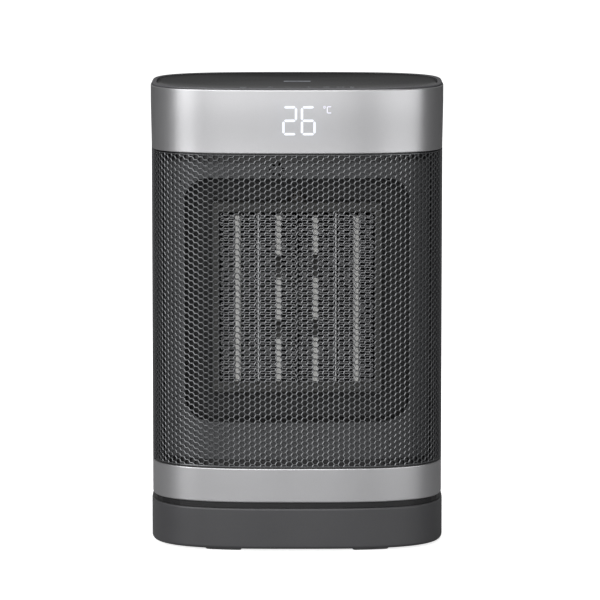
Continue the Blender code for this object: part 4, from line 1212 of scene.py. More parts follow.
@dataclass
class BaseHousing:
    """The dark base that stands still, with its deck, its ledge for the bottom plate and the gland's seat."""

    plan: HeaterPlan
    wall: float = 2.6 * MM
    deck: float = 2.4 * MM
    fillet: float = 1.9 * MM
    edge: float = 0.9 * MM
    close: float = 0.3 * MM
    rim: float = 5.1 * MM
    drop: float = 0.6 * MM
    ledge: float = 7.5 * MM
    hub: float = 20.3 * MM
    seat_step: float = 1.2 * MM
    seat_bore: float = 5.3 * MM
    seat_overrun: float = 4.0 * MM
    seat_steps: int = 48
    pad_inset: float = 4.5 * MM
    pad_corner: float = 2.0 * MM
    pad_edge: float = 0.5 * MM
    pad_gap: float = 0.05 * MM
    pad_cuts: int = 8

    def shell(self) -> Form:
        """Draw the base's shell and cut the gland's seat into it.

        Returns:
            The shell.
        """
        low, high = self.plan.base_low - self.drop, self.plan.base_high
        foot = Station(self.fillet + self.rim, low)
        stations = [
            foot,
            *arc(self.fillet, low + self.fillet, self.fillet, -90, 0, 8),
            Station(0.0, low + self.fillet + self.close),
            Station(0.0, high - self.edge - self.close),
            *arc(self.edge, high - self.edge, self.edge, 0, 90, 5),
            Station(0.0, high, circle=self.hub),
            Station(0.0, high - self.deck, circle=self.hub),
            Station(self.wall, high - self.deck),
            Station(self.wall, low + self.ledge),
            Station(self.fillet + self.rim, low + self.ledge - self.wall),
            foot,
        ]
        return carve(self.plan.outline.loft(stations), [self.gland_seat()])

    def gland_seat(self) -> Form:
        """Turn the stepped cutter that the cord gland sits in.

        Returns:
            The cutter.
        """
        low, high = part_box("cord_gland")
        centre, radius = (low + high) / 2, (high.x - low.x) / 2 + FIT
        step, end = high.y - self.seat_step, high.y + self.seat_overrun
        profile = (
            (0.0, end), (radius, end), (radius, step), (self.seat_bore, step), (self.seat_bore, low.y),
            (0.0, low.y),
        )
        tool = bmesh.new()
        verts = [tool.verts.new((centre.x + out, y, centre.z)) for out, y in profile]
        edges = [tool.edges.new(pair) for pair in zip(verts, verts[1:])]
        bmesh.ops.spin(
            tool, geom=verts + edges, cent=centre, axis=(0, 1, 0), angle=2 * math.pi, steps=self.seat_steps,
            use_merge=True,
        )
        weld(tool)
        return tool

    def pad(self, node: str) -> Form:
        """Draw a foot's pad, whose outer side follows the base's outline close to its edge.

        Args:
            node: The CAD node that gives the foot's place.

        Returns:
            The pad with rounded corners and a rounded tread.
        """
        low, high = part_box(node)
        outline = self.plan.outline
        side = math.copysign(1.0, low.y + high.y)
        near, far = min(abs(low.y), abs(high.y)), outline.half_depth - self.pad_inset
        top = self.plan.base_low - self.drop - self.pad_gap
        size = (high.x - low.x, far - near, top)
        form = block(size, Vector(((low.x + high.x) / 2, side * (near + far) / 2, top / 2)))
        across = edges_along(form.edges[:], 0, size[0] / 2)
        bmesh.ops.subdivide_edges(form, edges=across, cuts=self.pad_cuts, use_grid_fill=True)
        for vert in form.verts:
            if side * vert.co.y > (near + far) / 2:
                vert.co.y = side * outline.depth(vert.co.x, self.pad_inset)
        round_off(form, edges_along(steep_edges(form), 2, top / 2), self.pad_corner, 6)
        tread = [edge for edge in steep_edges(form) if max(vert.co.z for vert in edge.verts) < MERGE]
        round_off(form, tread, self.pad_edge, 3)
        return form

    def build(self, paint: Paint) -> None:
        """Make the base's shell and the pads under it.

        Args:
            paint: The finishes by name.
        """
        skin = Piece("base_skin", Body.BASE, Slot.BASE_PLASTIC, [paint["base_plastic"]], ("base_shell",))
        skin.make(self.shell())
        rubber = [paint["foot_rubber"]]
        for corner in ("front_left", "front_right", "rear_left", "rear_right"):
            node = f"foot_{corner}"
            Piece(f"pad_{corner}", Body.BASE, Slot.FOOT_RUBBER, rubber, (node,)).make(self.pad(node))


@dataclass
class SilverBands:
    """The two satin bands that hold the mesh between them."""

    plan: HeaterPlan
    wall: float = 2.2 * MM
    edge: float = 0.7 * MM
    lip_outer: float = 2.6 * MM
    lip_inner: float = 4.2 * MM
    root: float = 4.0 * MM
    slope: float = 2.0 * MM
    paint_depth: float = 1.6 * MM

    def band(self, level: float, way: float, face: list[Station]) -> Form:
        """Draw a band: its painted face, its wall and the lip behind the mesh, cut off at the seam.

        Args:
            level: Height of the edge beside the mesh.
            way: 1 where the band stands above that edge, -1 where it hangs below.
            face: The stations of the painted face, from that edge on.

        Returns:
            The front part of the ring, black inside: bare plastic, and painted shade on the lip that shows
                through the mesh.
        """
        plan = self.plan
        inner = plan.waist + self.wall
        start = Station(plan.waist + self.edge / 2, level)
        form = plan.outline.loft([
            start,
            Station(plan.waist + self.edge / 8, level + way * self.edge / 8),
            *face,
            Station(inner, face[-1].height),
            Station(inner, level + way * self.root + way * self.slope),
            Station(self.lip_inner, level + way * self.root),
            Station(self.lip_inner, level - way * plan.lap),
            Station(self.lip_outer, level - way * plan.lap),
            Station(self.lip_outer, level),
            start,
        ])
        cut_off(form, along(1, plan.band_seam), along(1, 1.0))
        # Faces deep inside take the black finish: bare plastic, which on the lip behind the mesh is also
        # painted shade under the band
        for part in form.faces:
            middle = part.calc_center_median()
            deep = plan.outline.depth(middle.x, plan.waist + self.paint_depth)
            part.material_index = 1 if abs(middle.y) < deep or len(part.verts) > 4 else 0
        return form

    def upper(self) -> Form:
        """Draw the upper band with its flare and its rounded rim.

        Returns:
            The band.
        """
        low, high = self.plan.grille_high + FIT, self.plan.body_high
        rim = arc(self.edge, high - self.edge, self.edge, 0, 90, 5)[1:]
        face = self.plan.wall(low + self.edge / 2, high - self.edge, 8) + rim
        return self.band(low, 1.0, face)

    def lower(self) -> Form:
        """Draw the lower band with its rounded foot.

        Returns:
            The band.
        """
        low, high = self.plan.band_low, self.plan.grille_low - FIT
        foot = arc(self.plan.waist + self.edge, low + self.edge, self.edge, 0, -90, 4)[1:]
        face = self.plan.wall(low + self.edge, high - self.edge / 2, 4)[::-1] + foot
        return self.band(high, -1.0, face)

    def build(self, paint: Paint) -> None:
        """Make both bands, black inside: bare plastic, and painted shade on the lip behind the mesh.

        Args:
            paint: The finishes by name.
        """
        for side, form in (("upper", self.upper()), ("lower", self.lower())):
            finishes = [paint[f"band_silver_{side}"], paint["black_plastic"]]
            Piece(f"{side}_band_skin", Body.HEATER, Slot.BAND_SILVER, finishes, (f"{side}_band",)).make(form)


@dataclass
class HexMesh:
    """The punched mesh in front: hexagonal holes in upright columns, punched flat and bent round."""

    plan: HeaterPlan
    pitch: float = 3.57 * MM
    spread: float = 1.021
    web: float = 0.66 * MM
    sheet: float = 0.8 * MM
    recess: float = 0.6 * MM
    roll: float = 0.19 * MM
    hem: float = 0.25 * MM
    shadow_gap: float = 0.6 * MM
    smallest_share: float = 0.10
    sheet_facing: float = 0.3

    def tiling(self, half: Pair) -> Form:
        """Lay hexagons side by side over the sheet, without holes.

        Args:
            half: Half of the sheet's length and height.

        Returns:
            The flat tiling, trimmed to the sheet inside its hem.
        """
        form = bmesh.new()
        side = self.pitch / math.sqrt(3)
        step = 1.5 * side * self.spread
        place = Matrix.Diagonal((self.spread, 1, 1, 1)) @ Matrix.Rotation(math.pi / 6, 4, "Z")
        bmesh.ops.create_circle(form, cap_ends=True, segments=6, radius=side, matrix=place)
        rows = math.ceil(half[1] / self.pitch) + 1
        columns = 2 * math.ceil(half[0] / (2 * step)) + 2
        cell = everything(form)
        shift(form, ((0.5 - columns) * step, -rows * self.pitch, 0))
        for row in range(1, 2 * rows + 1):
            self.repeat(form, cell, (0, row * self.pitch, 0))
        column = everything(form)
        for index in range(1, 2 * columns + 1):
            self.repeat(form, column, (index * step, (index % 2) * self.pitch / 2, 0))
        weld(form)
        for axis in (0, 1):
            for way in (1, -1):
                edge = along(axis, way * (half[axis] - self.hem))
                bmesh.ops.bisect_plane(
                    form, geom=everything(form), plane_co=edge, plane_no=along(axis, way), clear_outer=True
                )
        return form

    def repeat(self, form: Form, geometry: list, move: Triple) -> None:
        """Copy part of a form to another place."""
        fresh = bmesh.ops.duplicate(form, geom=geometry)["geom"]
        bmesh.ops.translate(form, verts=verts_of(fresh), vec=move)

    def punch(self, form: Form) -> None:
        """Open a hole in each cell, the cut ones at the border too, and roll the webs towards it.

        Args:
            form: The flat tiling, which is changed.
        """
        whole = 1.5 * math.sqrt(3) * (self.pitch / math.sqrt(3)) ** 2
        cells = form.faces[:]
        bmesh.ops.inset_individual(form, faces=cells, thickness=self.web / 2, use_even_offset=True)
        for vert in {vert for face in cells for vert in face.verts}:
            vert.co.z = self.roll
        holes = [face for face in cells if face.calc_area() > self.smallest_share * whole]
        bmesh.ops.delete(form, geom=holes, context="FACES_ONLY")

    def add_hem(self, form: Form, half: Pair) -> None:
        """Grow the plain hem round the punched field.

        Args:
            form: The flat sheet, which is changed.
            half: Half of the sheet's length and height.
        """
        for axis in (0, 1):
            for way in (-1, 1):
                limit = way * (half[axis] - self.hem)
                border = [
                    edge
                    for edge in form.edges
                    if edge.is_boundary and all(abs(vert.co[axis] - limit) < MERGE for vert in edge.verts)
                ]
                fresh = draw_on(form, border)[1]
                bmesh.ops.translate(form, verts=fresh, vec=along(axis, way * self.hem))

    def build(self, paint: Paint) -> None:
        """Make the mesh, with the walls of the holes in their own finish.

        Args:
            paint: The finishes by name.
        """
        plan = self.plan
        bend = BentSheet(plan.outline, plan.waist + self.recess)
        length = bend.reach(-plan.grille_seam + FIT)
        half = (length, (plan.grille_high - plan.grille_low) / 2 - self.shadow_gap)
        form = self.tiling(half)
        self.punch(form)
        self.add_hem(form, half)
        thicken(form, (0, 0, self.sheet))
        face_out(form)
        for face in form.faces:
            face.material_index = 0 if abs(face.normal.z) > self.sheet_facing else 1
        shift(form, (0, (plan.grille_low + plan.grille_high) / 2, 0))
        bend.bend(form)
        face_out(form)
        metal = [paint["mesh_coat"], paint["mesh_cut_edge"]]
        Piece("hex_mesh", Body.HEATER, Slot.GRILLE_METAL, metal, ("front_grille",), smooth=False).make(form)


@dataclass
class RearHousing:
    """The dark housing round the back, with its intake slots, grip hole and switch hole."""

    plan: HeaterPlan
    mesh: HexMesh
    wall: float = 1.6 * MM
    edge: float = 0.5 * MM
    foot: float = 3.0 * MM
    flange: float = 1.0 * MM
    flange_gap: float = 0.4 * MM
    flange_reach: float = 11.0 * MM
    overrun: float = 10.0 * MM
    slot_rows: int = 10
    slot_columns: int = 3
    slot_size: Pair = (26.0 * MM, 4.0 * MM)
    slot_pitch: Pair = (30.5 * MM, 10.0 * MM)
    slot_depth: float = 3.0 * MM
    cutter: float = 12.0 * MM
    grip_round: float = 8.3 * MM
    switch_hole: Triple = (13.4 * MM, 16.0 * MM, 19.4 * MM)

    def shell(self) -> Form:
        """Draw the housing's wall, cut every opening and add the flanges.

        Returns:
            The housing.
        """
        plan = self.plan
        low, high = plan.band_low, plan.body_high
        inner = plan.waist + self.wall
        start = Station(plan.waist + self.edge, low)
        form = plan.outline.loft([
            start,
            *arc(plan.waist + self.edge, low + self.edge, self.edge, -90, 0, 3)[1:],
            *plan.wall(low + self.foot, high - self.edge, 14),
            *arc(self.edge, high - self.edge, self.edge, 0, 90, 3)[1:],
            Station(inner, high),
            Station(inner, low),
            start,
        ])
        cut_off(form, along(1, plan.grille_seam), along(1, -1.0))
        tools = [*self.band_rooms(), *self.slots(), self.grip_hole(), self.switch_cut()]
        return join_forms([carve(form, tools), self.flanges()])

    def flanges(self) -> Form:
        """Draw the recessed flanges that the mesh's two upright edges lie against.

        Returns:
            Both flanges, between the lips of the bands.
        """
        plan = self.plan
        outer = plan.waist + self.mesh.recess + self.mesh.sheet + self.flange_gap
        inner = outer + self.flange
        low, high = plan.grille_low + plan.lap + FIT, plan.grille_high - plan.lap - FIT
        corners = ((outer, low), (outer, high), (inner, high), (inner, low), (outer, low))
        form = plan.outline.loft([Station(*corner) for corner in corners])
        cut_off(form, along(1, plan.grille_seam - self.flange_reach), along(1, -1.0))
        cut_off(form, along(1, plan.grille_seam + self.flange), along(1, 1.0))
        return form

    def band_rooms(self) -> list[Form]:
        """Make the cutters that leave room for the two bands.

        Returns:
            Both cutters.
        """
        plan = self.plan
        back = plan.band_seam + FIT
        front = -plan.outline.half_depth
        rooms = []
        for low, high in ((0.0, plan.grille_low), (plan.grille_high, plan.body_high + self.overrun)):
            size = (3 * plan.outline.half_width, back - front, high - low)
            rooms.append(block(size, Vector((0, (front + back) / 2, (low + high) / 2))))
        return rooms

    def slots(self) -> list[Form]:
        """Make one rounded cutter for each intake slot.

        Returns:
            The cutters.
        """
        low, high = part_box("fan_shroud")
        y = self.plan.outline.half_depth - self.slot_depth
        size = (self.slot_size[0], self.cutter, self.slot_size[1])
        tools = []
        for column in range(self.slot_columns):
            for row in range(self.slot_rows):
                x = (column - (self.slot_columns - 1) / 2) * self.slot_pitch[0]
                z = (low.z + high.z) / 2 + (row - (self.slot_rows - 1) / 2) * self.slot_pitch[1]
                tools.append(rounded_block(size, Vector((x, y, z)), size[2] / 2 - MERGE, 5))
        return tools

    def grip_hole(self) -> Form:
        """Make the cutter for the grip recess.

        Returns:
            The cutter.
        """
        low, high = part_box("grip_recess")
        size = (high.x - low.x + 2 * FIT, self.cutter, high.z - low.z + 2 * FIT)
        centre = Vector((0, self.plan.outline.half_depth, (low.z + high.z) / 2))
        return rounded_block(size, centre, self.grip_round, 8)

    def switch_cut(self) -> Form:
        """Make the cutter for the mains switch, square to the skin.

        Returns:
            The cutter.
        """
        low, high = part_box("switch_body")
        x = (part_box("power_rocker")[0].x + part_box("power_rocker")[1].x) / 2
        left, here, right = (self.plan.outline.depth(x + run, self.plan.waist) for run in (-MM, 0.0, MM))
        turn = math.atan((right - left) / (2 * MM))
        return block(self.switch_hole, Vector((x, here, (low.z + high.z) / 2)), turn)

    def build(self, paint: Paint) -> None:
        """Make the housing.

        Args:
            paint: The finishes by name.
        """
        finishes = [paint["housing_plastic"]]
        Piece("rear_skin", Body.HEATER, Slot.HOUSING_PLASTIC, finishes, ("rear_housing",)).make(self.shell())


@dataclass(frozen=True)
class Sign:
    """A printed sign in millimetres: at most one ring, open beyond a limit, and strokes.

    A stroke is its width, length, place in x and y, and turn.
    """

    place: float
    ring: Pair = (0.0, 0.0)
    ring_steps: int = 28
    open_axis: int = 0
    open_from: float = math.inf
    strokes: tuple[tuple[float, ...], ...] = ()

    def draw(self) -> Form:
        """Draw the sign flat about its own middle.

        Returns:
            The sign.
        """
        forms = []
        if self.ring[0]:
            ring = flat_ring(self.ring[0] * MM, self.ring[1] * MM, self.ring_steps)
            limit = self.open_from * MM
            gap = [face for face in ring.faces if face.calc_center_median()[self.open_axis] > limit]
            bmesh.ops.delete(ring, geom=gap, context="FACES")
            forms.append(ring)
        for width, length, x, y, turn in self.strokes:
            forms.append(flat_bar((width * MM, length * MM), (x * MM, y * MM), turn))
        return join_forms(forms)


MINUS = (3.2, 0.45, 0, 0, 0)
BLADES = tuple(
    (0.8, 1.3, 1.35 * math.sin(turn), 1.35 * math.cos(turn), -turn - 0.5)
    for turn in (2 * math.pi * index / 3 for index in range(3))
)
ARROW_TIPS = tuple(
    (1.3, 0.36, side * 1.75, lean * 0.45, -side * lean * math.radians(42))
    for side in (-1, 1)
    for lean in (-1, 1)
)
POWER_SIGN = Sign(-32.2, ring=(2.0, 0.4), open_axis=1, open_from=1.55, strokes=((0.42, 2.0, 0, 1.5, 0),))
FAN_SIGN = Sign(-16.0, ring=(0.6, 0.3), ring_steps=12, strokes=BLADES)
MINUS_SIGN = Sign(-5.5, strokes=(MINUS,))
PLUS_SIGN = Sign(7.0, strokes=(MINUS, (0.45, 1.37, 0, -0.91, 0), (0.45, 1.37, 0, 0.91, 0)))
CLOCK_SIGN = Sign(17.6, ring=(1.9, 0.36), strokes=((0.35, 1.2, 0, 0.5, 0), (0.9, 0.35, 0.55, 0, 0)))
SWING_SIGN = Sign(26.0, strokes=((3.2, 0.36, 0, 0, 0), *ARROW_TIPS))
MOON_SIGN = Sign(33.4, ring=(1.8, 0.7), open_from=0.75)


@dataclass
class TopCover:
    """The sloping black rim on top and the smoked touch glass set into it, with its printed signs."""

    plan: HeaterPlan
    inset: float = 0.6 * MM
    front_edge: float = 0.7 * MM
    tilt: float = 1.5 * MM
    margin: float = 3.0 * MM
    plug: float = 2.5 * MM
    plug_lift: float = 4.0 * MM
    glass: float = 1.6 * MM
    glass_edge: float = 3.2 * MM
    glass_drop: float = 0.75 * MM
    crown: float = 0.40 * MM
    signs: tuple[Sign, ...] = (
        POWER_SIGN, FAN_SIGN, MINUS_SIGN, PLUS_SIGN, CLOCK_SIGN, SWING_SIGN, MOON_SIGN,
    )
    sign_row: float = -52.0 * MM
    touch_bar_size: Pair = (16.4 * MM, 4.6 * MM)
    touch_bar_place: Pair = (0.15 * MM, -14.5 * MM)
    touch_bar_corner: float = 1.0 * MM
    print_lift: float = 0.03 * MM

    def __post_init__(self) -> None:
        """Work out the cover's levels."""
        self.low = self.plan.body_high + FIT
        self.front = self.low + self.front_edge

    def rim(self) -> Form:
        """Draw the cover: a plug inside the walls, a rounded rim and a pocket for the glass.

        Returns:
            The cover.
        """
        plug = self.plan.waist + self.plug
        pocket = self.inset + self.margin
        stations = [
            Station(plug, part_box("top_cover")[0].z + self.plug_lift),
            Station(plug, self.low),
            Station(self.inset, self.low),
        ]
        for run, rise in map(quarter, (0.25, 0.5, 0.75, 1.0)):
            inset = self.inset + self.front_edge * run
            stations.append(Station(inset, self.low + self.front_edge * rise, self.tilt * rise))
        stations += [
            Station(pocket - CLOSE, self.front, self.tilt),
            Station(pocket, self.front - CLOSE, self.tilt),
            Station(pocket, self.front - self.glass - FIT, self.tilt),
        ]
        return self.plan.outline.loft(stations)

    def panel(self) -> Form:
        """Draw the touch glass with a rounded edge and a low crown.

        Returns:
            The glass.
        """
        inset = self.inset + self.margin + FIT
        stations = [Station(inset, self.front - self.glass, self.tilt)]
        for run, rise in map(quarter, (0.0, 0.12, 0.3, 0.5, 0.75, 1.0)):
            height = self.front - self.glass_drop + self.glass_drop * rise
            stations.append(Station(inset + self.glass_edge * run, height, self.tilt))
        for share in (0.85, 0.7, 0.5, 0.3, 0.1, 0.0):
            rise = self.crown * (1 - share * share)
            stations.append(Station(inset + self.glass_edge, self.front + rise, self.tilt, share))
        return self.plan.outline.loft(stations)

    def print_signs(self) -> Form:
        """Draw the touch signs flat, each at its place in the row.

        Returns:
            The row of signs.
        """
        forms = []
        for sign in self.signs:
            form = sign.draw()
            shift(form, (sign.place * MM, self.sign_row, 0))
            forms.append(form)
        return join_forms(forms)

    def glow_bar(self) -> Form:
        """Draw the bar behind the signs, flat, with rounded ends; its light is a painted highlight, with no
        lamp behind it.

        Returns:
            The bar.
        """
        form = bmesh.new()
        bmesh.ops.create_grid(form, x_segments=12, y_segments=1, size=0.5)
        bmesh.ops.scale(form, verts=form.verts[:], vec=(*self.touch_bar_size, 1))
        corners = [vert for vert in form.verts if abs(vert.co.x) > 0.49 * self.touch_bar_size[0]]
        round_off(form, corners, self.touch_bar_corner, 4, corners=True)
        shift(form, (*self.touch_bar_place, 0))
        return form

    def lay_on(self, form: Form, glass: BVHTree) -> Form:
        """Lay a flat print on the glass.

        Args:
            form: The print, drawn flat.
            glass: The surface of the glass.

        Returns:
            The print on the glass, looking up.
        """
        for vert in form.verts:
            hit = glass.ray_cast(Vector((vert.co.x, vert.co.y, 1.0)), Vector((0, 0, -1)))
            vert.co.z = hit[0].z + self.print_lift
        thicken(form, (0, 0, -0.8 * self.print_lift))
        face_out(form)
        return form

    def build(self, paint: Paint) -> None:
        """Make the cover, the glass and what is printed on it.

        Args:
            paint: The finishes by name.
        """
        cover = Piece("cover_rim", Body.HEATER, Slot.BLACK_PLASTIC, [paint["cover_plastic"]], ("top_cover",))
        cover.make(self.rim())
        panel = self.panel()
        surface = BVHTree.FromBMesh(panel)
        glass = Piece("touch_glass", Body.HEATER, Slot.PANEL_GLOSS, [paint["touch_glass"]], ("touch_panel",))
        glass.make(panel)
        # The signs and the bar have no lamp: their light is a painted glow from their finishes
        for name, ink, flat in (
            ("touch_signs", paint["sign_ink_painted_glow"], self.print_signs()),
            ("touch_bar", paint["touch_bar_painted_highlight"], self.glow_bar()),
        ):
            form = self.lay_on(flat, surface)
            Piece(name, Body.HEATER, Slot.WHITE_PLASTIC, [ink], smooth=False).make(form)


@dataclass
class NumberDisplay:
    """The lit temperature that shines through the upper band."""

    plan: HeaterPlan
    digit_size: Pair = (9.0 * MM, 17.6 * MM)
    digit_places: tuple[tuple[str, float], ...] = (("2", -4.31 * MM), ("6", 6.72 * MM))
    centre_height: float = 260.8 * MM
    stroke: float = 1.5 * MM
    gap: float = 0.55 * MM
    unit_lift: float = 0.2 * MM
    degree_place: Pair = (16.4 * MM, 0.9 * MM)
    degree_half: Pair = (0.48 * MM, 0.62 * MM)
    degree_stroke: float = 0.32 * MM
    letter_place: Pair = (19.15 * MM, 0.4 * MM)
    letter_size: Pair = (2.7 * MM, 4.2 * MM)
    letter_stroke: float = 0.52 * MM
    proud: float = 0.06 * MM
    thickness: float = 0.10 * MM

    def bar(self, length: float, width: float, centre: Pair, upright: bool) -> Form:
        """Draw one bar with pointed ends, flat, with y for its height on the heater.

        Args:
            length: Its length from tip to tip.
            width: Its width.
            centre: Its middle across the heater and its height.
            upright: Whether it stands upright.

        Returns:
            The bar.
        """
        form = bmesh.new()
        turn = 0.0 if upright else math.pi / 2
        bmesh.ops.create_circle(form, cap_ends=True, segments=6, radius=1.0)
        for vert in form.verts:
            tip = abs(vert.co.x) < 0.1
            reach = length / 2 if tip else length / 2 - width / 2
            across = 0.0 if tip else math.copysign(width / 2, vert.co.x)
            vert.co = Vector((across, math.copysign(reach, vert.co.y), 0))
        round_off(form, form.verts[:], width / 7, 2, corners=True)
        bmesh.ops.rotate(form, verts=form.verts[:], cent=(0, 0, 0), matrix=Matrix.Rotation(turn, 3, "Z"))
        shift(form, (*centre, 0))
        return form

    def digit(self, figure: str, x: float) -> list[Form]:
        """Draw the bars of one digit.

        Args:
            figure: The digit.
            x: Its middle across the heater.

        Returns:
            Its bars.
        """
        width, height = self.digit_size
        reach_x, reach_z = (width - self.stroke) / 2, (height - self.stroke) / 2
        bars = []
        for segment in DIGIT_SEGMENTS[figure]:
            column, row, upright = segment.value
            centre = (x + 2 * column * reach_x, self.centre_height + row * reach_z)
            length = (reach_z if upright else 2 * reach_x) - self.gap
            bars.append(self.bar(length, self.stroke, centre, upright))
        return bars

    def unit(self) -> list[Form]:
        """Draw the small sign for degrees Celsius beside the digits.

        Returns:
            Its bars: a small ring of four, and a letter of three.
        """
        top = self.centre_height + self.digit_size[1] / 2 + self.unit_lift
        across, upward = self.degree_half
        bars = []
        for column, row, upright in ((0, 1, False), (0, -1, False), (1, 0, True), (-1, 0, True)):
            spot = (self.degree_place[0] + column * across, top - self.degree_place[1] + row * upward)
            bars.append(self.bar(2 * (upward if upright else across), self.degree_stroke, spot, upright))
        width, height = self.letter_size
        left, stroke = self.letter_place[0], self.letter_stroke
        middle = top - self.letter_place[1] - height / 2
        for row in (1, -1):
            spot = (left + stroke / 4, middle + row * (height - stroke) / 2)
            bars.append(self.bar(width - stroke / 2, stroke, spot, False))
        bars.append(self.bar(height - stroke, stroke, (left - (width - stroke) / 2, middle), True))
        return bars

    def lay_on(self, forms: list[Form]) -> Form:
        """Lay flat bars on the band's skin.

        Args:
            forms: The bars, with x across and y upwards.

        Returns:
            The bars as thin lenses just proud of the paint.
        """
        form = join_forms(forms)
        thicken(form, (0, 0, self.thickness))
        for vert in form.verts:
            inset = self.plan.skin(vert.co.y) - self.proud + vert.co.z
            vert.co = Vector((vert.co.x, -self.plan.outline.depth(vert.co.x, inset), vert.co.y))
        face_out(form)
        return form

    def build(self, paint: Paint) -> None:
        """Make the digits and the sign beside them.

        Args:
            paint: The finishes by name.
        """
        digits = [bar for figure, x in self.digit_places for bar in self.digit(figure, x)]
        for name, lens, bars in (
            ("lit_digits", paint["digit_lens"], digits), ("lit_unit", paint["unit_lens"], self.unit()),
        ):
            Piece(name, Body.HEATER, Slot.WHITE_PLASTIC, [lens], smooth=False).make(self.lay_on(bars))


@dataclass
class CeramicCore:
    """The heater core: folded fins between the bars, and the dark sleeves of the two inner bars."""

    banks: int = 8
    leaf_pitch: float = 1.5 * MM
    foil: float = 0.36 * MM
    play: float = 0.12 * MM
    curl_share: float = 0.42
    bend: tuple[Pair, ...] = ((1.0, 0.0), (0.3, 0.14), (0.0, 0.5), (0.3, 0.86), (1.0, 1.0))
    bars: int = 4
    bar_width: float = 3.1 * MM
    bar_drop: float = 1.8 * MM
    bar_proud: float = 0.5 * MM
    bar_press: Pair = (0.7 * MM, 0.15 * MM)
    bar_round: float = 0.35 * MM
    sleeved: tuple[str, ...] = ("ptc_bar_2", "ptc_bar_3")
    sleeve_levels: tuple[Pair, ...] = ((164.0 * MM, 178.0 * MM), (127.5 * MM, 138.5 * MM))
    sleeve_lap: float = 0.05 * MM
    sleeve_depth: float = 1.2 * MM
    sleeve_back: float = 0.35 * MM
    sleeve_press: Pair = (0.5 * MM, 0.2 * MM)
    sleeve_round: float = 0.18 * MM

    def room(self, edge: float) -> float:
        """Say how far a fold stays inside its bank, with more room beside a bar.

        Args:
            edge: Place of the bank's edge across the heater.

        Returns:
            The distance from that edge to the fold.
        """
        bars = [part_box(f"ptc_bar_{index}") for index in range(1, self.bars + 1)]
        nearest = min(abs(edge - (low.x + high.x) / 2) for low, high in bars)
        return max(self.bar_width / 2 - nearest, 0.0) + self.play

    def bar(self, node: str) -> Form:
        """Draw a bar in its flat tube, with rounded edges and a shallow pressing in front.

        Args:
            node: The CAD node that gives the bar's place.

        Returns:
            The bar.
        """
        low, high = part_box(node)
        front, top = low.y - self.bar_proud, high.z - self.bar_drop
        centre = Vector(((low.x + high.x) / 2, (front + high.y) / 2, (low.z + top) / 2))
        size = (self.bar_width, high.y - front, top - low.z)
        return pressed_block(size, centre, self.bar_press, self.bar_round, 3)

    def sleeve(self, node: str, low_z: float, high_z: float) -> Form:
        """Fold a dark sleeve over the front edge of a bar.

        Args:
            node: The bar that carries it.
            low_z: Its lower end.
            high_z: Its upper end.

        Returns:
            The sleeve with its pressed middle.
        """
        low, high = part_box(node)
        size = (self.bar_width + 2 * self.sleeve_lap, self.sleeve_depth, high_z - low_z)
        y = low.y - self.bar_proud + self.sleeve_back
        centre = Vector(((low.x + high.x) / 2, y, (low_z + high_z) / 2))
        return pressed_block(size, centre, self.sleeve_press, self.sleeve_round, 2)

    def fold(self, node: str) -> Form:
        """Fold one strip of foil to and fro up its bank.

        Args:
            node: The CAD node that gives the bank's box.

        Returns:
            The folded foil with its thickness.
        """
        low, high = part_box(node)
        left = low.x + self.room(low.x) + self.foil / 2
        right = high.x - self.room(high.x) - self.foil / 2
        leaves = int((high.z - low.z - self.foil) / self.leaf_pitch)
        pitch = (high.z - low.z - self.foil) / leaves
        curl = pitch * self.curl_share
        bottom = low.z + self.foil / 2
        form = bmesh.new()
        ends = [form.verts.new((left + curl, y, bottom)) for y in (low.y + self.play, high.y - self.play)]
        edges = [form.edges.new(ends)]
        for leaf in range(leaves):
            far, side = (left, -1) if leaf % 2 else (right, 1)
            for share, rise in self.bend:
                edges, verts = draw_on(form, edges)
                for vert in verts:
                    vert.co.x = far - side * curl * share
                    vert.co.z = bottom + leaf * pitch + pitch * rise
        face_out(form)
        bmesh.ops.solidify(form, geom=form.faces[:], thickness=self.foil)
        shift(form, (0, 0, -self.foil / 2))
        face_out(form)
        for face in form.faces:
            face.material_index = 1 if face.normal.y < -FACING else 0
        return form

    def build(self, paint: Paint) -> None:
        """Make the fin banks, with their cut edges in front, the bars and the sleeves.

        Args:
            paint: The finishes by name.
        """
        foil, ceramic = [paint["fin_foil"], paint["fin_cut_edge"]], [paint["bar_ceramic"]]
        for index in range(1, self.banks + 1):
            node = f"fin_bank_{index}"
            Piece(f"fin_fold_{index}", Body.HEATER, Slot.CORE_ALUMINIUM, foil, (node,)).make(self.fold(node))
        for index in range(1, self.bars + 1):
            node = f"ptc_bar_{index}"
            Piece(f"bar_tube_{index}", Body.HEATER, Slot.CORE_CERAMIC, ceramic, (node,)).make(self.bar(node))
        sleeves = [self.sleeve(node, *level) for node in self.sleeved for level in self.sleeve_levels]
        resin = [paint["sleeve_resin"]]
        Piece("bar_sleeves", Body.HEATER, Slot.BLACK_PLASTIC, resin).make(join_forms(sleeves))


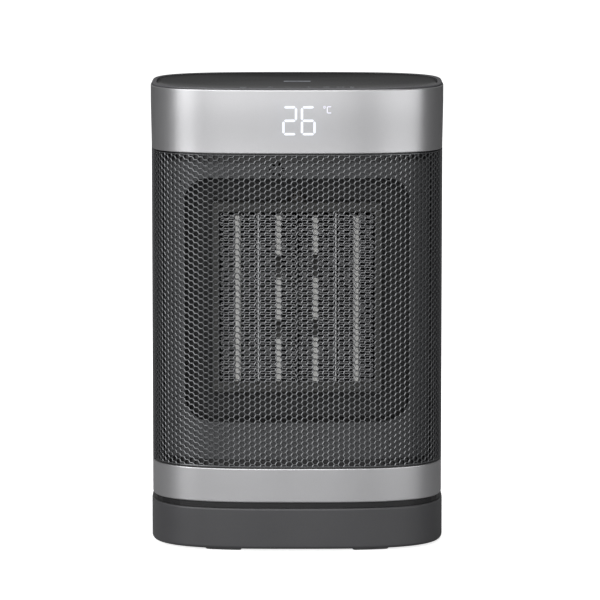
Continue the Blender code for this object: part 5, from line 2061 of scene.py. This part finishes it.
@dataclass
class RockerMarks:
    """The printed I and O of the mains switch."""

    radius: float = 1.5 * MM
    line: float = 0.45 * MM
    lift: float = 0.03 * MM
    offset: float = 4.4 * MM
    steps: int = 24
    lean: float = math.radians(15)
    run_up: float = 20.0

    def build(self, paint: Paint) -> None:
        """Print the marks on the rocker's outer face.

        Args:
            paint: The finishes by name.
        """
        rocker = bmesh.new()
        rocker.from_mesh(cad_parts["power_rocker"].data)
        surface = BVHTree.FromBMesh(rocker)
        rocker.free()
        low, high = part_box("power_rocker")
        centre = (low + high) / 2
        ring = flat_ring(self.radius, self.line, self.steps)
        shift(ring, (0, -self.offset, 0))
        form = join_forms([ring, flat_bar((self.line, 2 * self.radius), (0, self.offset))])
        heading = Vector((math.sin(self.lean), -math.cos(self.lean), 0))
        for vert in form.verts:
            start = Vector((centre.x, centre.y, centre.z + vert.co.y)) - heading * self.run_up * MM
            start += Vector((-heading.y, heading.x, 0)) * vert.co.x * -1
            hit = surface.ray_cast(start, heading)
            vert.co = (hit[0] if hit[0] else start) - heading * self.lift
        thicken(form, heading * 0.8 * self.lift)
        face_out(form)
        ink = [paint["mark_ink"]]
        Piece("rocker_marks", Body.ROCKER, Slot.WHITE_PLASTIC, ink, smooth=False).make(form)


@dataclass
class Studio:
    """The pale floor, the soft lights and the camera at the photograph's angle."""

    camera_place: Triple = (0.0018, -2.627, 0.471)
    camera_pitch: float = 0.1232
    sensor: float = 36.0
    clip: Pair = (0.05, 100.0)
    focal_pixels: float = 4316.0
    image_pixels: float = 600.0
    horizon_tone: float = 0.012
    ceiling_tone: float = 0.20
    dusk: Pair = (0.07, 0.165)
    floor_half: float = 20.0
    floor_tones: Pair = (0.26, 0.85)
    floor_roughness: float = 0.9
    floor_lift: Pair = (0.80, 1.0)
    lift_reach: Pair = (0.1, 0.9)
    aim: Triple = (0.0, 0.0, 0.15)
    softboxes: tuple[tuple[str, Triple, Pair, float], ...] = (
        ("softbox_left", (-1.90, -1.30, 0.85), (1.25, 1.7), 3.45),
        ("softbox_front", (-0.60, -3.25, 1.25), (2.9, 2.3), 3.1),
        ("softbox_right", (1.75, -1.53, 0.33), (2.4, 0.6), 2.75),
        ("softbox_upper_left", (-1.45, -0.85, 1.95), (1.2, 1.0), 2.3),
        ("softbox_top", (0.0, -0.45, 2.0), (1.6, 1.2), 2.2),
    )

    def camera(self) -> None:
        """Set up the camera."""
        data = bpy.data.cameras.new("photo_camera")
        data.sensor_width = self.sensor
        data.lens = data.sensor_width * self.focal_pixels / self.image_pixels
        data.clip_start, data.clip_end = self.clip
        item = put_in_scene("photo_camera", data)
        item.location = self.camera_place
        item.rotation_euler = (math.pi / 2 - self.camera_pitch, 0, 0)
        bpy.context.scene.camera = item

    def lights(self) -> None:
        """Hang the softboxes, each aimed at the heater's middle."""
        for name, place, size, brightness in self.softboxes:
            data = bpy.data.lights.new(name, "AREA")
            data.shape = "RECTANGLE"
            data.size, data.size_y = size
            data.energy = brightness * math.pi * size[0] * size[1]
            item = put_in_scene(name, data)
            item.location = place
            item.rotation_euler = (Vector(self.aim) - Vector(place)).to_track_quat("-Z", "Y").to_euler()

    def room(self) -> None:
        """Make the room dim for reflections and white for the camera."""
        world = bpy.data.worlds.new("studio_room")
        world.use_nodes = True
        bench = NodeBench(world.node_tree)
        world.node_tree.nodes.clear()
        heading = bench.parts(bench.add("ShaderNodeTexCoord").outputs["Generated"])
        level = bench.span(heading.outputs["Z"], self.dusk, (self.horizon_tone, self.ceiling_tone))
        mix = bench.add("ShaderNodeMixShader")
        bench.feed(mix.inputs[0], bench.add("ShaderNodeLightPath").outputs["Is Camera Ray"])
        for index, strength in ((1, level), (2, 1.0)):
            light = bench.add("ShaderNodeBackground")
            bench.fill(light, Color=WHITE, Strength=strength)
            bench.feed(mix.inputs[index], light.outputs[0])
        bench.fill(bench.add("ShaderNodeOutputWorld"), Surface=mix.outputs[0])
        bpy.context.scene.world = world
        bpy.context.scene.view_settings.view_transform = "Standard"

    def floor(self) -> None:
        """Lay the pale floor, which is darker in reflections than for the camera."""
        form = bmesh.new()
        bmesh.ops.create_grid(form, x_segments=4, y_segments=4, size=self.floor_half)
        mesh = to_mesh(form, "studio_floor")
        put_in_scene("studio_floor", mesh)
        draft = Draft("pale_floor")
        seen = draft.add("ShaderNodeLightPath").outputs["Is Camera Ray"]
        dark, pale = ((level, level, level) for level in self.floor_tones)
        distance = draft.add("ShaderNodeVectorMath", operation="LENGTH")
        draft.feed(distance.inputs[0], draft.place)
        lift = draft.span(distance.outputs["Value"], self.lift_reach, self.floor_lift, smooth=True)
        draft.shade(
            Base_Color=draft.mix(seen, dark, pale), Roughness=self.floor_roughness,
            Emission_Color=WHITE, Emission_Strength=draft.sum("MULTIPLY", lift, seen),
        )
        mesh.materials.append(draft.material)

    def build(self) -> None:
        """Set up the whole studio."""
        self.camera()
        self.lights()
        self.room()
        self.floor()


def list_finishes(display: NumberDisplay) -> tuple[Finish, ...]:
    """List every finish of the heater.

    Args:
        display: The lit number, whose glow the upper band's paint lets through.

    Returns:
        The finishes.
    """
    middle = sum(place for _, place in display.digit_places) / 2
    upright = (900.0, 900.0, 40.0)
    return (
        MouldedPlastic("base_plastic", "#424244", 0.38),
        MouldedPlastic("foot_rubber", "#6e6e6f", 0.55, grain=2200.0),
        MouldedPlastic("cover_plastic", "#515154", 0.34, grain_depth=0.006 * MM),
        MouldedPlastic("black_plastic", "#101012", 0.40),
        MouldedPlastic("housing_plastic", "#333336", 0.42),
        MouldedPlastic("rocker_plastic", "#19191b", 0.28, grain_depth=0.004 * MM),
        MouldedPlastic("sleeve_resin", "#1b1a19", 0.5),
        MouldedPlastic("moulded_white", "#cfccc4", 0.45, dust=0.05),
        MouldedPlastic("wire_jacket", "#26262a", 0.55, grain=900.0, dust=0.05),
        MouldedPlastic("baffle_plastic", "#535456", 0.55, grain=1100.0),
        MouldedPlastic("tray_plastic", "#292a2b", 0.60, grain=1100.0),
        MouldedPlastic("frame_plastic", "#3c3c3b", 0.50, grain=1100.0),
        SatinSilver(
            "band_silver_upper", "#c0c0c2", 0.36, glow_strength=0.05, window_half=(23.0 * MM, 12.5 * MM),
            number_half=(10.0 * MM, 8.5 * MM), window_centre=(middle, 0.0, display.centre_height),
        ),
        SatinSilver("band_silver_lower", "#c3c3c5", 0.36),
        WorkedMetal("mesh_coat", "#747577", 0.29, metallic=0.9),
        WorkedMetal("mesh_cut_edge", "#48494b", 0.42, metallic=0.6),
        WorkedMetal("fin_foil", "#8e8f91", 0.45, stretch=(40.0, 600.0, 40.0), metallic=0.55),
        WorkedMetal("fin_cut_edge", "#a9a9ab", 0.40, stretch=(300.0, 40.0, 40.0), metallic=0.5),
        WorkedMetal("zinc_steel", "#9c9d9f", 0.38),
        WorkedMetal("contact_strip", "#d4d5d7", 0.42, stretch=upright, metallic=0.3),
        WorkedMetal("oxidised_strip", "#3c3c3d", 0.50, stretch=upright),
        GlazedCeramic("bar_ceramic", "#cdcdcb", 0.45),
        GlazedCeramic("sensor_resin", "#2b2926", 0.35),
        GlossGlass("touch_glass", "#141518", 0.08),
        # The signs are grey print with no lamp: their faint light is a painted glow
        LitLensAndPaintedGlow("sign_ink_painted_glow", "#c9ccd2", 0.4, strength=0.09),
        # The touch bar's light is a painted highlight, with no lamp behind it
        LitLensAndPaintedGlow("touch_bar_painted_highlight", "#e6ebf5", 0.4, strength=0.10),
        LitLensAndPaintedGlow("mark_ink", "#d6d6d4", 0.5, strength=0.0, shadow=0.1),
        LitLensAndPaintedGlow("digit_lens", "#ffffff", 0.4, strength=0.92, edge="#e4ecff"),
        LitLensAndPaintedGlow("unit_lens", "#f2f1ff", 0.4, strength=1.05, edge="#e4e2f6"),
        WovenMesh("filter_wool", "#3d3f42", 0.85),
        CircuitBoard("solder_mask", "#1f4a2c", 0.35),
    )


KEPT_NODES = {
    "base_plastic": ("base_plate",),
    "black_plastic": (
        "cord_gland", "chassis_floor", "grip_recess", "switch_body", "power_relay", "fan_rotor",
    ),
    "wire_jacket": ("supply_lead", "wiring_harness"),
    "moulded_white": (
        "tip_switch", "drive_pinion", "oscillation_gear", "slide_ring", "display_module", "terminal_block",
    ),
    "zinc_steel": ("oscillation_motor", "fan_motor", "motor_bracket"),
    "rocker_plastic": ("power_rocker",),
    "filter_wool": ("dust_filter",),
    "solder_mask": ("control_board",),
    "baffle_plastic": ("baffle",),
    "tray_plastic": ("heater_tray", "fan_shroud"),
    "frame_plastic": ("core_frame",),
    "sensor_resin": ("room_sensor", "thermal_cutout"),
    "contact_strip": ("electrode_1", "electrode_3"),
    "oxidised_strip": ("electrode_2",),
}


def dress_kept_nodes(paint: Paint) -> None:
    """Give the CAD nodes that keep their shape their finish.

    Args:
        paint: The finishes by name.
    """
    for finish, nodes in KEPT_NODES.items():
        for node in nodes:
            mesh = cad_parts[node].data
            mesh.materials.clear()
            mesh.materials.append(paint[finish])
            LOG.info("%s: dressed in %s", node, finish)


def main() -> None:
    """Build the studio and every sub-assembly, and report each piece."""
    logging.basicConfig(level=logging.INFO, format="%(message)s", stream=sys.stdout)
    Studio().build()
    effects = Effects()
    plan = HeaterPlan()
    mesh = HexMesh(plan)
    display = NumberDisplay(plan)
    paint = {finish.name: finish.build(effects) for finish in list_finishes(display)}
    for assembly in (
        BaseHousing(plan), SilverBands(plan), mesh, RearHousing(plan, mesh), TopCover(plan), display,
        CeramicCore(), RockerMarks(),
    ):
        assembly.build(paint)
    dress_kept_nodes(paint)


if __name__ == "__main__":
    main()
